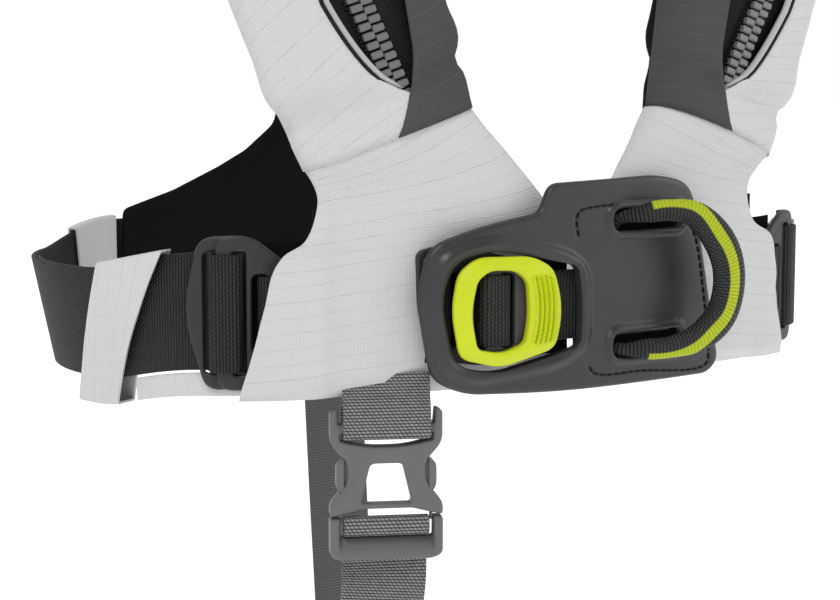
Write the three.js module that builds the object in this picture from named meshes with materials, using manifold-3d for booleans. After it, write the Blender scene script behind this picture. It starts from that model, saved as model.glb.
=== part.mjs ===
// Inflatable life jacket with a front toggle buckle, a 40 mm waist belt and one crotch strap.
// Units are millimetres. +X is the wearer's left, the wearer faces -Y, and +Z is up. The origin is
// the middle of the waist loop, at half the belt's height. "Right" and "left" are the wearer's.
import * as THREE from "three";
import { mergeVertices } from "three/addons/utils/BufferGeometryUtils.js";
import Module from "manifold-3d";

const wasm = await Module();
wasm.setup();

// ---------------------------------------------------------------- driving dimensions

// The waist line is an oval of four arcs along the belt's body side.
const WAIST = { depth: 95, frontRadius: 386, sideRadius: 85, sideX: 77 };
const JOIN = Math.asin(WAIST.sideX / (WAIST.frontRadius - WAIST.sideRadius));
const FRONT_ARC = WAIST.frontRadius * JOIN;
const SIDE_ARC = WAIST.sideRadius * (Math.PI - 2 * JOIN);
const HALF_WAIST = 2 * FRONT_ARC + SIDE_ARC;
const FRONT_CENTRE_Y = WAIST.frontRadius - WAIST.depth;

const GAP = 0.4;
const WEB = { thick: 1.6, waist: 40, narrow: 25, crotch: 30 };

// Layers of the belt and front closure, as distances out from the waist line.
const LAYER = {
  tail: -1,
  belt: 1.1,
  lining: [2.4, 6.2],
  boot: 6.6,
  receiver: [16.4, 18],
  anchor: 20.3,
  plate: [21.4, 24],
  rim: 26.4,
  slotRim: 25.4,
  core: [21.2, 24.2],
  ring: [24.7, 29],
};

// Lobe of the cover from the seam above the boot (first) to the back of the neck (last), on +X.
const LOBE = [
  { at: [68.5, -95, 58], out: [0.15, -0.98, 0.1], half: 32, deep: 12 },
  { at: [84, -89, 105], out: [0.12, -0.98, 0.12], half: 36, deep: 18 },
  { at: [95, -87, 150], out: [0.12, -0.98, 0.1], half: 40, deep: 26 },
  { at: [102, -86, 195], out: [0.12, -0.98, 0.15], half: 42, deep: 28 },
  { at: [105, -77, 240], out: [0.15, -0.93, 0.33], half: 43, deep: 27 },
  { at: [104, -50, 283], out: [0.2, -0.7, 0.68], half: 41, deep: 24 },
  { at: [99, -2, 308], out: [0.25, -0.1, 0.96], half: 38, deep: 21 },
  { at: [83, 42, 316], out: [0.35, 0.25, 0.9], half: 36, deep: 19 },
  { at: [48, 76, 312], out: [0.25, 0.5, 0.83], half: 36, deep: 18 },
  { at: [0, 90, 308], out: [0, 0.62, 0.78], half: 37, deep: 18 },
];
const SQUARENESS = 0.85;
const COVER_THICK = 1.2;
const LOBE_SPANS = 17;
const SEAM = 0.0006;

// ---------------------------------------------------------------- materials

const finish = (color, roughness, metalness = 0) =>
  new THREE.MeshStandardMaterial({ color, roughness, metalness, flatShading: true });
const MATERIAL = {
  white: finish(0xdedede, 0.85),
  grey: finish(0x4a4a4c, 0.85),
  black: finish(0x161616, 0.8),
  piping: finish(0xb4b6b8, 0.5),
  tooth: finish(0x77797b, 0.45),
  bladder: finish(0xe6d21e, 0.6),
  steel: finish(0xb9bcbf, 0.35, 0.9),
  charcoal: finish(0x2c2c2e, 0.5),
  darkPlastic: finish(0x3c3d3f, 0.45),
  greyPlastic: finish(0x707274, 0.5),
  lime: finish(0xd0dc1c, 0.5),
  ribbed: finish(0x1e1e20, 0.9),
  webbing: finish(0x4e4f51, 0.9),
  cap: finish(0xc23b22, 0.5),
  whistle: finish(0xe0661c, 0.5),
  clear: finish(0xcfd8dc, 0.2),
};

// ---------------------------------------------------------------- places

// Place and outward direction at arc length s along the waist line, 0 at the middle of the front.
function waist(s) {
  const whole = 2 * HALF_WAIST;
  const near = s - whole * Math.round(s / whole);
  const side = near < 0 ? -1 : 1;
  const run = Math.abs(near);
  const { sideRadius, sideX, frontRadius } = WAIST;
  let x;
  let y;
  let out;
  if (run < FRONT_ARC || run > HALF_WAIST - FRONT_ARC) {
    const rear = run > FRONT_ARC;
    const angle = (rear ? HALF_WAIST - run : run) / frontRadius;
    const back = rear ? 1 : -1;
    x = frontRadius * Math.sin(angle);
    y = back * (frontRadius * Math.cos(angle) - FRONT_CENTRE_Y);
    out = [Math.sin(angle), back * Math.cos(angle)];
  } else {
    const angle = JOIN + (run - FRONT_ARC) / sideRadius;
    out = [Math.sin(angle), -Math.cos(angle)];
    x = sideX + sideRadius * out[0];
    y = sideRadius * out[1];
  }
  return { at: new THREE.Vector3(side * x, y, 0), out: new THREE.Vector3(side * out[0], out[1], 0) };
}

function onWaist(s, r, z) {
  const { at, out } = waist(s);
  return at.addScaledVector(out, r).setZ(z);
}

// Evenly spaced values from one to another.
const every = (from, to, steps) =>
  Array.from({ length: steps + 1 }, (_, i) => from + ((to - from) * i) / steps);

// A station of a loft: where it is, and the directions of its outline's two axes.
function waistStation(s) {
  const { at, out } = waist(s);
  return { at, across: new THREE.Vector3(0, 0, 1), out };
}

const mirrorX = ([x, y, z]) => [-x, y, z];
const wholeLobe = [
  ...LOBE.map(({ at, out, half, deep }) => ({ at: mirrorX(at), out: mirrorX(out), half, deep })),
  ...LOBE.slice(0, -1).reverse(),
];
const throughLobe = (pick) =>
  new THREE.CatmullRomCurve3(
    wholeLobe.map((key) => new THREE.Vector3(...pick(key))),
    false,
    "catmullrom",
  );
const lobePlace = throughLobe((key) => key.at);
const lobeOut = throughLobe((key) => key.out);
const lobeSize = throughLobe((key) => [key.half, key.deep, 0]);

// Station of the horseshoe: t is -1 at the right lobe's seam, 0 behind the neck, 1 at the left.
function lobe(t) {
  const k = (t + 1) / 2;
  const step = 0.002;
  const before = lobePlace.getPoint(Math.max(0, k - step));
  const after = lobePlace.getPoint(Math.min(1, k + step));
  const along = after.sub(before).normalize();
  const out = lobeOut.getPoint(k);
  out.addScaledVector(along, -out.dot(along)).normalize();
  const across = new THREE.Vector3().crossVectors(out, along);
  const size = lobeSize.getPoint(k);
  return { at: lobePlace.getPoint(k), across, out, along, half: size.x, deep: size.y };
}

// Point of a lobe's section, as a turn in degrees from its neck edge over its front.
function around(turn, half, deep) {
  const angle = THREE.MathUtils.degToRad(turn);
  const round = (value) => Math.sign(value) * Math.abs(value) ** SQUARENESS;
  return [-half * round(Math.cos(angle)), deep * round(Math.sin(angle))];
}

// ---------------------------------------------------------------- solids

// A closed body through outlines set at stations; the outlines share one number of points.
function loft(stations, outlineAt, closed = false) {
  const outlines = stations.map((station, i) => {
    const points = outlineAt(station, i).map(([u, v]) => new THREE.Vector2(u, v));
    return THREE.ShapeUtils.isClockWise(points) ? points.reverse() : points;
  });
  const count = outlines[0].length;
  const positions = [];
  stations.forEach(({ at, across, out }, i) => {
    for (const { x, y } of outlines[i]) {
      positions.push(...at.clone().addScaledVector(across, x).addScaledVector(out, y).toArray());
    }
  });
  const faces = [];
  const spans = closed ? stations.length : stations.length - 1;
  for (let i = 0; i < spans; i++) {
    const next = (i + 1) % stations.length;
    for (let j = 0; j < count; j++) {
      const k = (j + 1) % count;
      const [a, b, c, d] = [i * count + j, i * count + k, next * count + k, next * count + j];
      faces.push([a, b, c], [a, c, d]);
    }
  }
  if (!closed) {
    const last = (stations.length - 1) * count;
    for (const [a, b, c] of THREE.ShapeUtils.triangulateShape(outlines[0], [])) {
      faces.push([c, b, a]);
    }
    for (const [a, b, c] of THREE.ShapeUtils.triangulateShape(outlines.at(-1), [])) {
      faces.push([a + last, b + last, c + last]);
    }
  }
  return facingOut(positions, faces);
}

// The body with its faces turned outwards, whichever way its stations run.
function facingOut(positions, faces) {
  const corner = (i) => new THREE.Vector3().fromArray(positions, 3 * i);
  const volume = faces.reduce(
    (sum, [a, b, c]) => sum + corner(a).dot(corner(b).cross(corner(c))),
    0,
  );
  const order = volume < 0 ? faces.map(([a, b, c]) => [a, c, b]) : faces;
  const geometry = new THREE.BufferGeometry();
  geometry.setAttribute("position", new THREE.Float32BufferAttribute(positions, 3));
  geometry.setIndex(order.flat());
  return geometry;
}

function toSolid(geometry) {
  const bare = new THREE.BufferGeometry();
  bare.setAttribute("position", geometry.getAttribute("position"));
  bare.setIndex(geometry.index);
  const merged = mergeVertices(bare, 1e-3);
  return new wasm.Manifold(
    new wasm.Mesh({
      numProp: 3,
      vertProperties: new Float32Array(merged.attributes.position.array),
      triVerts: new Uint32Array(merged.index.array),
    }),
  );
}

function toGeometry(solid) {
  const { vertProperties, triVerts } = solid.getMesh();
  const geometry = new THREE.BufferGeometry();
  geometry.setAttribute("position", new THREE.BufferAttribute(vertProperties, 3));
  geometry.setIndex(new THREE.BufferAttribute(triVerts, 1));
  return geometry;
}

function joined(...geometries) {
  return toGeometry(geometries.map(toSolid).reduce((sum, next) => sum.add(next)));
}

function cut(body, ...tools) {
  return toGeometry(tools.map(toSolid).reduce((left, next) => left.subtract(next), toSolid(body)));
}

function common(a, b) {
  return toGeometry(toSolid(a).intersect(toSolid(b)));
}

// Outline through corners, each rounded by its third number as a radius.
function outline(given) {
  const path = new THREE.Shape();
  const clockwise = THREE.ShapeUtils.isClockWise(given.map(([x, y]) => new THREE.Vector2(x, y)));
  const corners = clockwise ? given.toReversed() : given;
  const points = corners.map(([x, y]) => new THREE.Vector2(x, y));
  corners.forEach(([, , radius = 0], i) => {
    const here = points[i];
    const before = points.at(i - 1).clone().sub(here);
    const after = points[(i + 1) % points.length].clone().sub(here);
    const reach = Math.min(radius, before.length() / 2.1, after.length() / 2.1);
    const start = here.clone().add(before.setLength(reach || 1e-6));
    const end = here.clone().add(after.setLength(reach || 1e-6));
    if (i === 0) path.moveTo(start.x, start.y);
    else path.lineTo(start.x, start.y);
    if (reach > 0) path.quadraticCurveTo(here.x, here.y, end.x, end.y);
  });
  path.closePath();
  return path;
}

function box(x0, x1, y0, y1, radius = 0) {
  return outline([
    [x0, y0, radius],
    [x1, y0, radius],
    [x1, y1, radius],
    [x0, y1, radius],
  ]);
}

function plate(shape, thickness, holes = [], curveSegments = 3) {
  shape.holes.push(...holes);
  return new THREE.ExtrudeGeometry(shape, { depth: thickness, bevelEnabled: false, curveSegments });
}

// Moves a flat piece (x along the belt, y up, z outwards) to arc length s, r out from the waist.
function onBelt(geometry, s, r) {
  const { out } = waist(s);
  const along = new THREE.Vector3(-out.y, out.x, 0);
  const turn = new THREE.Matrix4().makeBasis(along, new THREE.Vector3(0, 0, 1), out);
  return geometry.applyMatrix4(turn.setPosition(onWaist(s, r, 0)));
}

// Curved slab that follows the waist line near arc length s, between two distances out from it.
function slab(s, [inner, outer], tall) {
  const front = Math.abs(s) < FRONT_ARC;
  const rear = Math.abs(s) > HALF_WAIST - FRONT_ARC;
  const radius = front || rear ? WAIST.frontRadius : WAIST.sideRadius;
  const { at, out } = waist(s);
  const middle = Math.atan2(out.y, out.x);
  const reach = Math.min(105 / radius, 0.8);
  const ring = new THREE.Shape();
  ring.absarc(0, 0, radius + outer, middle - reach, middle + reach, false);
  ring.absarc(0, 0, radius + inner, middle + reach, middle - reach, true);
  const body = new THREE.ExtrudeGeometry(ring, {
    depth: tall,
    bevelEnabled: false,
    curveSegments: 7,
  });
  const centre = at.addScaledVector(out, -radius);
  return body.translate(centre.x, centre.y, -tall / 2);
}

// Flat outline bent with the waist line: a prism through a curved slab.
function bent(shape, s, layer, holes = []) {
  const depth = 40;
  const prism = onBelt(plate(shape, depth, holes), s, layer[0] - depth / 2);
  return common(prism, slab(s, layer, 200));
}

// Webbing along points given as arc length, distance out and height.
function webbing(points, width, { spans, thick = WEB.thick } = {}) {
  const route = new THREE.CatmullRomCurve3(
    points.map(([s, r, z = 0]) => new THREE.Vector3(s, r, z)),
    false,
    "centripetal",
  );
  const count = spans ?? 4 * (points.length - 1);
  const places = Array.from({ length: count + 1 }, (_, i) => {
    const { x, y, z } = route.getPoint(i / count);
    return onWaist(x, y, z);
  });
  const up = new THREE.Vector3(0, 0, 1);
  return strip(places, () => up, width, thick);
}

// Flat strip through places, with its width along a given direction.
function strip(places, acrossAt, width, thick) {
  const last = places.length - 1;
  const stations = places.map((at, i) => {
    const along = places[Math.min(i + 1, last)].clone().sub(places[Math.max(i - 1, 0)]).normalize();
    const out = new THREE.Vector3().crossVectors(along, acrossAt(i / last)).normalize();
    return { at, across: new THREE.Vector3().crossVectors(out, along), out };
  });
  const [w, h] = [width / 2, thick / 2];
  return loft(stations, () => [
    [-w, -h],
    [w, -h],
    [w, h],
    [-w, h],
  ]);
}

// ---------------------------------------------------------------- assembly

const jacket = new THREE.Group();
jacket.name = "life_jacket";

function add(name, geometry, material) {
  const flat = geometry.index ? geometry.toNonIndexed() : geometry;
  flat.computeVertexNormals();
  const mesh = new THREE.Mesh(flat, material);
  mesh.name = name;
  jacket.add(mesh);
}

function mirrored(geometry) {
  const flat = geometry.index ? geometry.toNonIndexed() : geometry.clone();
  const { array } = flat.getAttribute("position");
  const positions = Array.from(array, (value, i) => (i % 3 === 0 ? -value : value));
  const faces = Array.from({ length: positions.length / 9 }, (_, i) => [3 * i, 3 * i + 2, 3 * i + 1]);
  return facingOut(positions, faces);
}

// Makes the left piece as the mirror image of the right one.
function addPair(name, geometry, material) {
  add(`${name}_right`, geometry, material);
  add(`${name}_left`, mirrored(geometry), material);
}

// ---------------------------------------------------------------- cover and chamber

function lobeStations(from, to, spans) {
  return Array.from({ length: spans + 1 }, (_, i) => lobe(from + ((to - from) * i) / spans));
}

// The zip channel closes to a point above the boot, and a slanted seam runs on down from there.
const CHANNEL = { closedAt: 70, fullAt: 106, turn: 76, white: 32, grey: 10, seamFall: 12, margin: 1 };
function channelEdges({ at }) {
  const { closedAt, fullAt, turn, white, grey, seamFall, margin } = CHANNEL;
  const opened = Math.sqrt(THREE.MathUtils.clamp((at.z - closedAt) / (fullAt - closedAt), 0, 1));
  const middle = turn + seamFall * THREE.MathUtils.clamp((closedAt - at.z) / seamFall, 0, 1);
  return { white: middle + margin + white * opened, grey: middle - margin - grey * opened };
}

// Turn at which the two rows of teeth meet: it bends towards the neck near the closing point.
function chainTurn({ at }) {
  return 90 - 6.2 * (1 - THREE.MathUtils.clamp((at.z - 72) / 32, 0, 1));
}

function shell(fromTurn, toTurn, steps, inset = 0, thick = COVER_THICK) {
  return (station) => {
    const from = typeof fromTurn === "number" ? fromTurn : fromTurn(station);
    const to = typeof toTurn === "number" ? toTurn : toTurn(station);
    const turns = Array.from({ length: steps + 1 }, (_, i) => from + ((to - from) * i) / steps);
    const { half, deep } = station;
    const outer = turns.map((turn) => around(turn, half - inset, deep - inset));
    const inner = turns.map((turn) => around(turn, half - inset - thick, deep - inset - thick));
    return [...outer, ...inner.reverse()];
  };
}

function coverPanels() {
  const stations = lobeStations(-1, -SEAM, LOBE_SPANS);
  const white = shell((station) => channelEdges(station).white, 198, 6);
  const grey = shell(-5, (station) => channelEdges(station).grey, 6);
  addPair("cover_outer", loft(stations, white), MATERIAL.white);
  addPair("cover_inner", loft(stations, grey), MATERIAL.grey);
  addPair("cover_lining", loft(stations, shell(201, 352, 8)), MATERIAL.black);
}

function piping() {
  const radius = 1.3;
  const stations = lobeStations(-0.965, -SEAM, LOBE_SPANS);
  const bead = (station) => {
    const [u, v] = around(channelEdges(station).white, station.half - 0.8, station.deep - 0.8);
    return Array.from({ length: 6 }, (_, i) => {
      const angle = (i * Math.PI) / 3;
      return [u - radius - 1 + radius * Math.cos(angle), v + radius * Math.sin(angle)];
    });
  };
  addPair("piping", loft(stations, bead), MATERIAL.piping);
}

const ZIP_END = 0.972;
const CHAIN_END = 0.968;
function zip() {
  const inset = 4;
  const stations = lobeStations(-ZIP_END, ZIP_END, 2 * LOBE_SPANS);
  const outerEdge = (at) => Math.max(channelEdges(at).white + 6, 97);
  const outer = shell((at) => chainTurn(at) + 0.6, outerEdge, 2, inset, 0.8);
  const inner = shell((at) => channelEdges(at).grey - 3, (at) => chainTurn(at) - 0.6, 2, inset, 0.8);
  add("zip_tape_outer", loft(stations, outer), MATERIAL.black);
  add("zip_tape_inner", loft(stations, inner), MATERIAL.black);
  const row = (u0, u1) => (station) => {
    const v0 = station.deep - inset + 0.8;
    const v1 = v0 + 0.7 + 1.1 * THREE.MathUtils.clamp((station.at.z - 86) / 16, 0, 1);
    const [middle] = around(chainTurn(station), station.half, station.deep);
    return [
      [middle + u0, v0],
      [middle + u1, v0],
      [middle + u1, v1],
      [middle + u0, v1],
    ];
  };
  const chain = lobeStations(-CHAIN_END, CHAIN_END, 2 * LOBE_SPANS);
  add("zip_teeth_outer", loft(chain, row(0.2, 4.4)), MATERIAL.tooth);
  add("zip_teeth_inner", loft(chain, row(-4.4, -0.2)), MATERIAL.tooth);
}

// The slider sits on the straight stretch of the left lobe's chain.
const SLIDER_AT = 0.62;
function zipSlider() {
  const place = inLobe(SLIDER_AT, 0, lobe(SLIDER_AT).deep - 0.9);
  const body = plate(box(-5.5, 5.5, -7, 7, 3), 1.8);
  const bail = new THREE.BoxGeometry(3, 7, 2.4).translate(0, 0, 2.9);
  const tab = plate(box(-3, 3, -24, -1, 2.5), 1.4).translate(0, 0, 3);
  add("zip_slider", joined(body, bail, tab).applyMatrix4(place), MATERIAL.darkPlastic);
}

function bladder() {
  const stations = lobeStations(-0.96, 0.96, 2 * LOBE_SPANS);
  const folded = (station) => {
    const half = station.half - 6;
    const thin = THREE.MathUtils.clamp(station.deep / 4, 3.5, 5.5);
    const middle = thin + 6 - station.deep;
    return Array.from({ length: 10 }, (_, i) => {
      const [u, v] = around(i * 36 + 18, half * 0.9, thin);
      return [u, v + middle];
    });
  };
  add("bladder", loft(stations, folded), MATERIAL.bladder);
}

// ---------------------------------------------------------------- inflator side and oral tube side

// Matrix that stands a piece (x to the wearer's left, y up the lobe, z out) inside a lobe.
function inLobe(t, u, v) {
  const { at, across, out, along } = lobe(t);
  const up = along.multiplyScalar(-Math.sign(t));
  const place = at.addScaledVector(across, u).addScaledVector(out, v);
  const leftward = new THREE.Vector3().crossVectors(up, out);
  return new THREE.Matrix4().makeBasis(leftward, up, out).setPosition(place);
}

function turned(profile, segments = 20) {
  return new THREE.LatheGeometry(
    profile.map(([r, y]) => new THREE.Vector2(r, y)),
    segments,
  );
}

const INFLATOR = { t: 0.667, v: 2, radius: 12.5, foot: -46 };
function inflator() {
  const place = inLobe(INFLATOR.t, 0, INFLATOR.v);
  const r = INFLATOR.radius;
  const bottle = turned([
    [0, 0],
    [5.5, 0],
    [5.5, 8],
    [r - 2, 15],
    [r, 19],
    [r, 86],
    [r - 4, 93],
    [0, 95],
  ]);
  add("gas_cylinder", bottle.translate(0, INFLATOR.foot, 0).applyMatrix4(place), MATERIAL.steel);
  const block = plate(box(-12, 12, -26, -GAP, 4), 15).translate(0, 0, -7.5);
  const port = turned([
    [0, -4],
    [9, -4],
    [9, 4],
    [0, 4],
  ])
    .rotateZ(Math.PI / 2)
    .translate(-15, -14, 0);
  const slot = plate(box(-2.2, 2.2, -30, -12), 30).translate(0, 0, -15);
  const body = cut(joined(block, port), slot).translate(0, INFLATOR.foot, 0);
  add("inflator_body", body.applyMatrix4(place), MATERIAL.darkPlastic);
  const arm = plate(outline([[-3, -15], [3, -15, 2], [4, -22], [6, -31, 2], [1, -34, 2], [-4, -29, 2]]), 3.6);
  arm.translate(0, 0, -1.8).rotateY(Math.PI / 2).translate(0, INFLATOR.foot, 0);
  add("inflator_lever", arm.applyMatrix4(place), MATERIAL.lime);
}

const ORAL = { t: -0.667, u: 8, v: 2, radius: 5, foot: -70, tall: 90 };
function oralTube() {
  const place = inLobe(ORAL.t, ORAL.u, ORAL.v);
  const r = ORAL.radius;
  const tube = turned([
    [3, 0],
    [r, 0],
    [r, ORAL.tall],
    [3, ORAL.tall],
    [3, 0],
  ], 14).translate(0, ORAL.foot, 0);
  add("oral_tube", tube.applyMatrix4(place), MATERIAL.black);
  const cap = turned([
    [0, GAP],
    [r + 1.5, GAP],
    [r + 1.5, 13],
    [0, 13],
  ], 14).translate(0, ORAL.foot + ORAL.tall, 0);
  add("oral_tube_cap", cap.applyMatrix4(place), MATERIAL.cap);
}

function whistle() {
  const place = inLobe(-0.667, -16, 4);
  const body = plate(outline([[-6, -20], [6, -20, 5], [6, 6, 2], [4, 8], [4, 24], [-4, 24], [-6, 8]]), 11);
  const mouth = plate(box(-1.5, 1.5, 12, 30), 5).translate(0, 0, 3);
  const hollowed = cut(body.translate(0, 0, -5.5), mouth.translate(0, 0, -5.5));
  add("whistle", hollowed.applyMatrix4(place), MATERIAL.whistle);
}

function positionLight() {
  const place = inLobe(-0.82, -12, 4);
  const lamp = turned([
    [0, -16],
    [7, -16],
    [8, -14],
    [8, 12],
    [5, 18],
    [0, 19],
  ], 14);
  add("position_light", lamp.applyMatrix4(place), MATERIAL.clear);
}

// ---------------------------------------------------------------- boots

// Heights and widths of the boot: inner and outer arc length, thickness, from hem to seam.
const BOOT = [
  { z: -29, s: [3, 118], thick: 3 },
  { z: -24, s: [2, 117], thick: 8 },
  { z: -10, s: [2, 113], thick: 9.4 },
  { z: 10, s: [2, 109], thick: 9.4 },
  { z: 19, s: [3, 105], thick: 9.4 },
  { z: 25, s: [6, 98], thick: 9.4 },
  { z: 38, s: [13, 95], thick: 10.5 },
];
const BOOT_POINTS = 22;
const LEFT_TRIM = 10;

// The boot's back rises over the adjuster, and its front thins towards that edge.
function bootBack(s) {
  return LAYER.boot + 3.4 * THREE.MathUtils.smoothstep(s, 86, 96);
}

function bootThickness(s, thick) {
  return thick - Math.max(0, thick - 4) * THREE.MathUtils.smoothstep(s, 92, 116);
}

function boots() {
  const turns = Array.from({ length: BOOT_POINTS }, (_, i) => (360 * i) / BOOT_POINTS);
  const top = lobe(-1);
  const seam = turns.map((turn) => {
    const [u, v] = around(turn, top.half, top.deep);
    const point = top.at.clone().addScaledVector(top.along, -GAP);
    return point.addScaledVector(top.across, u).addScaledVector(top.out, v);
  });
  const body = (trim) => {
    const rings = BOOT.map(({ z, s: [inner, outer], thick }) =>
      turns.map((turn) => {
        const [u, v] = around(turn, 1, 1);
        const s = (inner + outer - trim) / 2 + ((outer - trim - inner) / 2) * u;
        return onWaist(-s, bootBack(s) + bootThickness(s, thick) * (0.5 + 0.5 * v), z);
      }),
    );
    return stacked([...rings, seam]);
  };
  const pocket = new THREE.BoxGeometry(33, 22, 7.6).translate(0, 9, 0).applyMatrix4(buckleFrame);
  add("boot_right", cut(body(0), pocket), MATERIAL.white);
  add("boot_left", mirrored(body(LEFT_TRIM)), MATERIAL.white);
  const stations = Array.from({ length: 7 }, (_, i) => waistStation(-5 - 14.8 * i));
  const [r0, r1] = LAYER.lining;
  const lining = loft(stations, () => [
    [-27, r0],
    [34, r0],
    [34, r1],
    [-27, r1],
  ]);
  addPair("boot_lining", lining, MATERIAL.black);
}

// A closed body through rings of points, closed at both ends by a fan from each ring's middle.
function stacked(rings) {
  const count = rings[0].length;
  const positions = rings.flat().flatMap((point) => point.toArray());
  const faces = [];
  for (let i = 0; i + 1 < rings.length; i++) {
    for (let j = 0; j < count; j++) {
      const k = (j + 1) % count;
      const [a, b, c, d] = [i * count + j, i * count + k, (i + 1) * count + k, (i + 1) * count + j];
      faces.push([a, b, c], [a, c, d]);
    }
  }
  const lid = (ring, first, flip) => {
    const middle = positions.length / 3;
    const sum = ring.reduce((total, point) => total.add(point), new THREE.Vector3());
    positions.push(...sum.divideScalar(count).toArray());
    for (let j = 0; j < count; j++) {
      const pair = [first + j, first + ((j + 1) % count)];
      if (flip) pair.reverse();
      faces.push([middle, ...pair]);
    }
  };
  lid(rings[0], 0, true);
  lid(rings.at(-1), (rings.length - 1) * count, false);
  return facingOut(positions, faces);
}

// ---------------------------------------------------------------- front closure

const WINDOW = [
  [-59.4, 4.5, 14], [-55, 17, 6], [-40, 20.8, 8], [-6.5, 13.8, 3], [-4.6, -1, 8], [-5.4, -14.4, 3],
  [-40, -22, 8], [-55, -18, 6],
];
const PLATE_SLOTS = [
  { x: [5, 42], z: [23, 34.5] },
  { x: [6, 42], z: [-21.5, -9] },
];

function frontPlate() {
  const edge = outline([
    [-67, 6, 12], [-62.5, 22.5, 6], [-44, 28.6, 8], [-21.5, 32.6, 3], [-17.5, 42.6, 4], [30, 44.4, 10],
    [45, 41, 8], [51, 18, 10], [60.5, -25, 4], [55, -29.6, 4], [-13, -30.4, 20], [-50, -28.8, 10],
    [-62, -23, 6],
  ]);
  const opening = outline(WINDOW);
  const slots = PLATE_SLOTS.map(({ x, z }) => box(...x, ...z, 5));
  const body = bent(edge, 0, LAYER.plate, [opening, ...slots]);
  const housing = outline([
    [-65.5, 5, 12], [-61.5, 21, 6], [-43, 27, 8], [-12, 22, 8], [-0.5, 14, 6], [0.5, -15, 6], [-12, -23, 8],
    [-49, -27, 10], [-60.8, -21, 6],
  ]);
  const rimLayer = [LAYER.plate[0] + 0.5, LAYER.rim];
  const rims = [
    bent(housing, 0, rimLayer, [outline(WINDOW)]),
    ...PLATE_SLOTS.map(({ x: [x0, x1], z: [z0, z1] }) => {
      const rim = box(x0 - 2.6, x1 + 2.6, z0 - 2.6, z1 + 2.6, 7);
      return bent(rim, 0, [rimLayer[0], LAYER.slotRim], [box(x0, x1, z0, z1, 5)]);
    }),
  ];
  add("front_plate", joined(body, ...rims), MATERIAL.charcoal);
}

function receiver() {
  const edge = outline([
    [-64, 2, 3], [-64.6, 20.5, 3], [-58, 22, 2], [-40, 20, 4], [-18, 14, 4], [-18, -14, 4], [-40, -20, 4],
    [-60, -17, 6],
  ]);
  const eye = new THREE.Path().absarc(-61.2, 17, 1.3, 0, 2 * Math.PI, true);
  const slot = box(-52, -46, -12.8, 12.8, 2);
  add("buckle_receiver", bent(edge, 0, LAYER.receiver, [eye, slot]), MATERIAL.darkPlastic);
}

const RING_OUTER = [
  [-57, 2, 14], [-54.5, 14.5, 5], [-40, 19.4, 10], [-18, 14.4, 6], [-14.8, -1, 12], [-17, -14.6, 6],
  [-38, -19.9, 10], [-54, -16, 5],
];
const RING_HOLE = [
  [-50, 0, 12], [-49.2, 12.4, 4], [-38, 14.2, 10], [-29, 12.4, 2], [-27.3, -2, 12], [-29.5, -13, 2],
  [-38, -14.8, 10], [-49, -12.8, 4],
];
const CORE_EDGE = [
  [-55, 0, 12], [-52, 13, 5], [-40, 17.4, 8], [-19, 12.8, 4], [-17, -1, 8], [-19, -13, 4], [-40, -18, 8],
  [-52, -14, 5],
];

// Arc length along the waist line under a point at x on the front plate.
const PLATE_RADIUS = WAIST.frontRadius + LAYER.plate[1];
const underPlate = (x) => (x * WAIST.frontRadius) / PLATE_RADIUS;

// The toggle is flat and stands square to the belt at its own middle.
const TOGGLE_X = -36;
function toggle() {
  const placed = (geometry, r) => onBelt(geometry.translate(-TOGGLE_X, 0, 0), underPlate(TOGGLE_X), r);
  const [c0, c1] = LAYER.core;
  const slots = [box(-47.2, -42.4, -13, 12.4, 1.5), box(-36.8, -31.8, -13, 12.4, 1.5)];
  add("buckle_core", placed(plate(outline(CORE_EDGE), c1 - c0, slots), c0), MATERIAL.greyPlastic);
  const [r0, r1] = LAYER.ring;
  const ring = plate(outline(RING_OUTER), r1 - r0, [outline(RING_HOLE)]);
  const rib = (x) => plate(box(x, x + 1.1, -11, 10.4), 0.9).translate(0, 0, r1 - r0 - 0.3);
  add("release_ring", placed(joined(ring, ...[-24.6, -22.2, -19.8].map(rib)), r0), MATERIAL.lime);
}

const TOGGLE_WRAP = [
  [-7.4, 20.3], [-20, 20.3], [-42, 20.3], [-44.6, 21.2], [-45, 24.4], [-43.4, 25.7], [-39.6, 26],
  [-35.8, 25.7],
  [-34.4, 24.4], [-34.3, 21.8],
];
function toggleWebbing() {
  const wide = WEB.narrow - 0.6;
  const along = (points) => points.map(([x, r]) => [underPlate(x), r]);
  add("buckle_webbing", webbing(along(TOGGLE_WRAP), wide, { thick: 1.3 }), MATERIAL.ribbed);
  const anchor = webbing(along([[-4.6, 20.3], [16, 20.3], [38, 20.3]]), wide, { spans: 6, thick: 1.3 });
  add("buckle_webbing_anchor", anchor, MATERIAL.ribbed);
}

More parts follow.
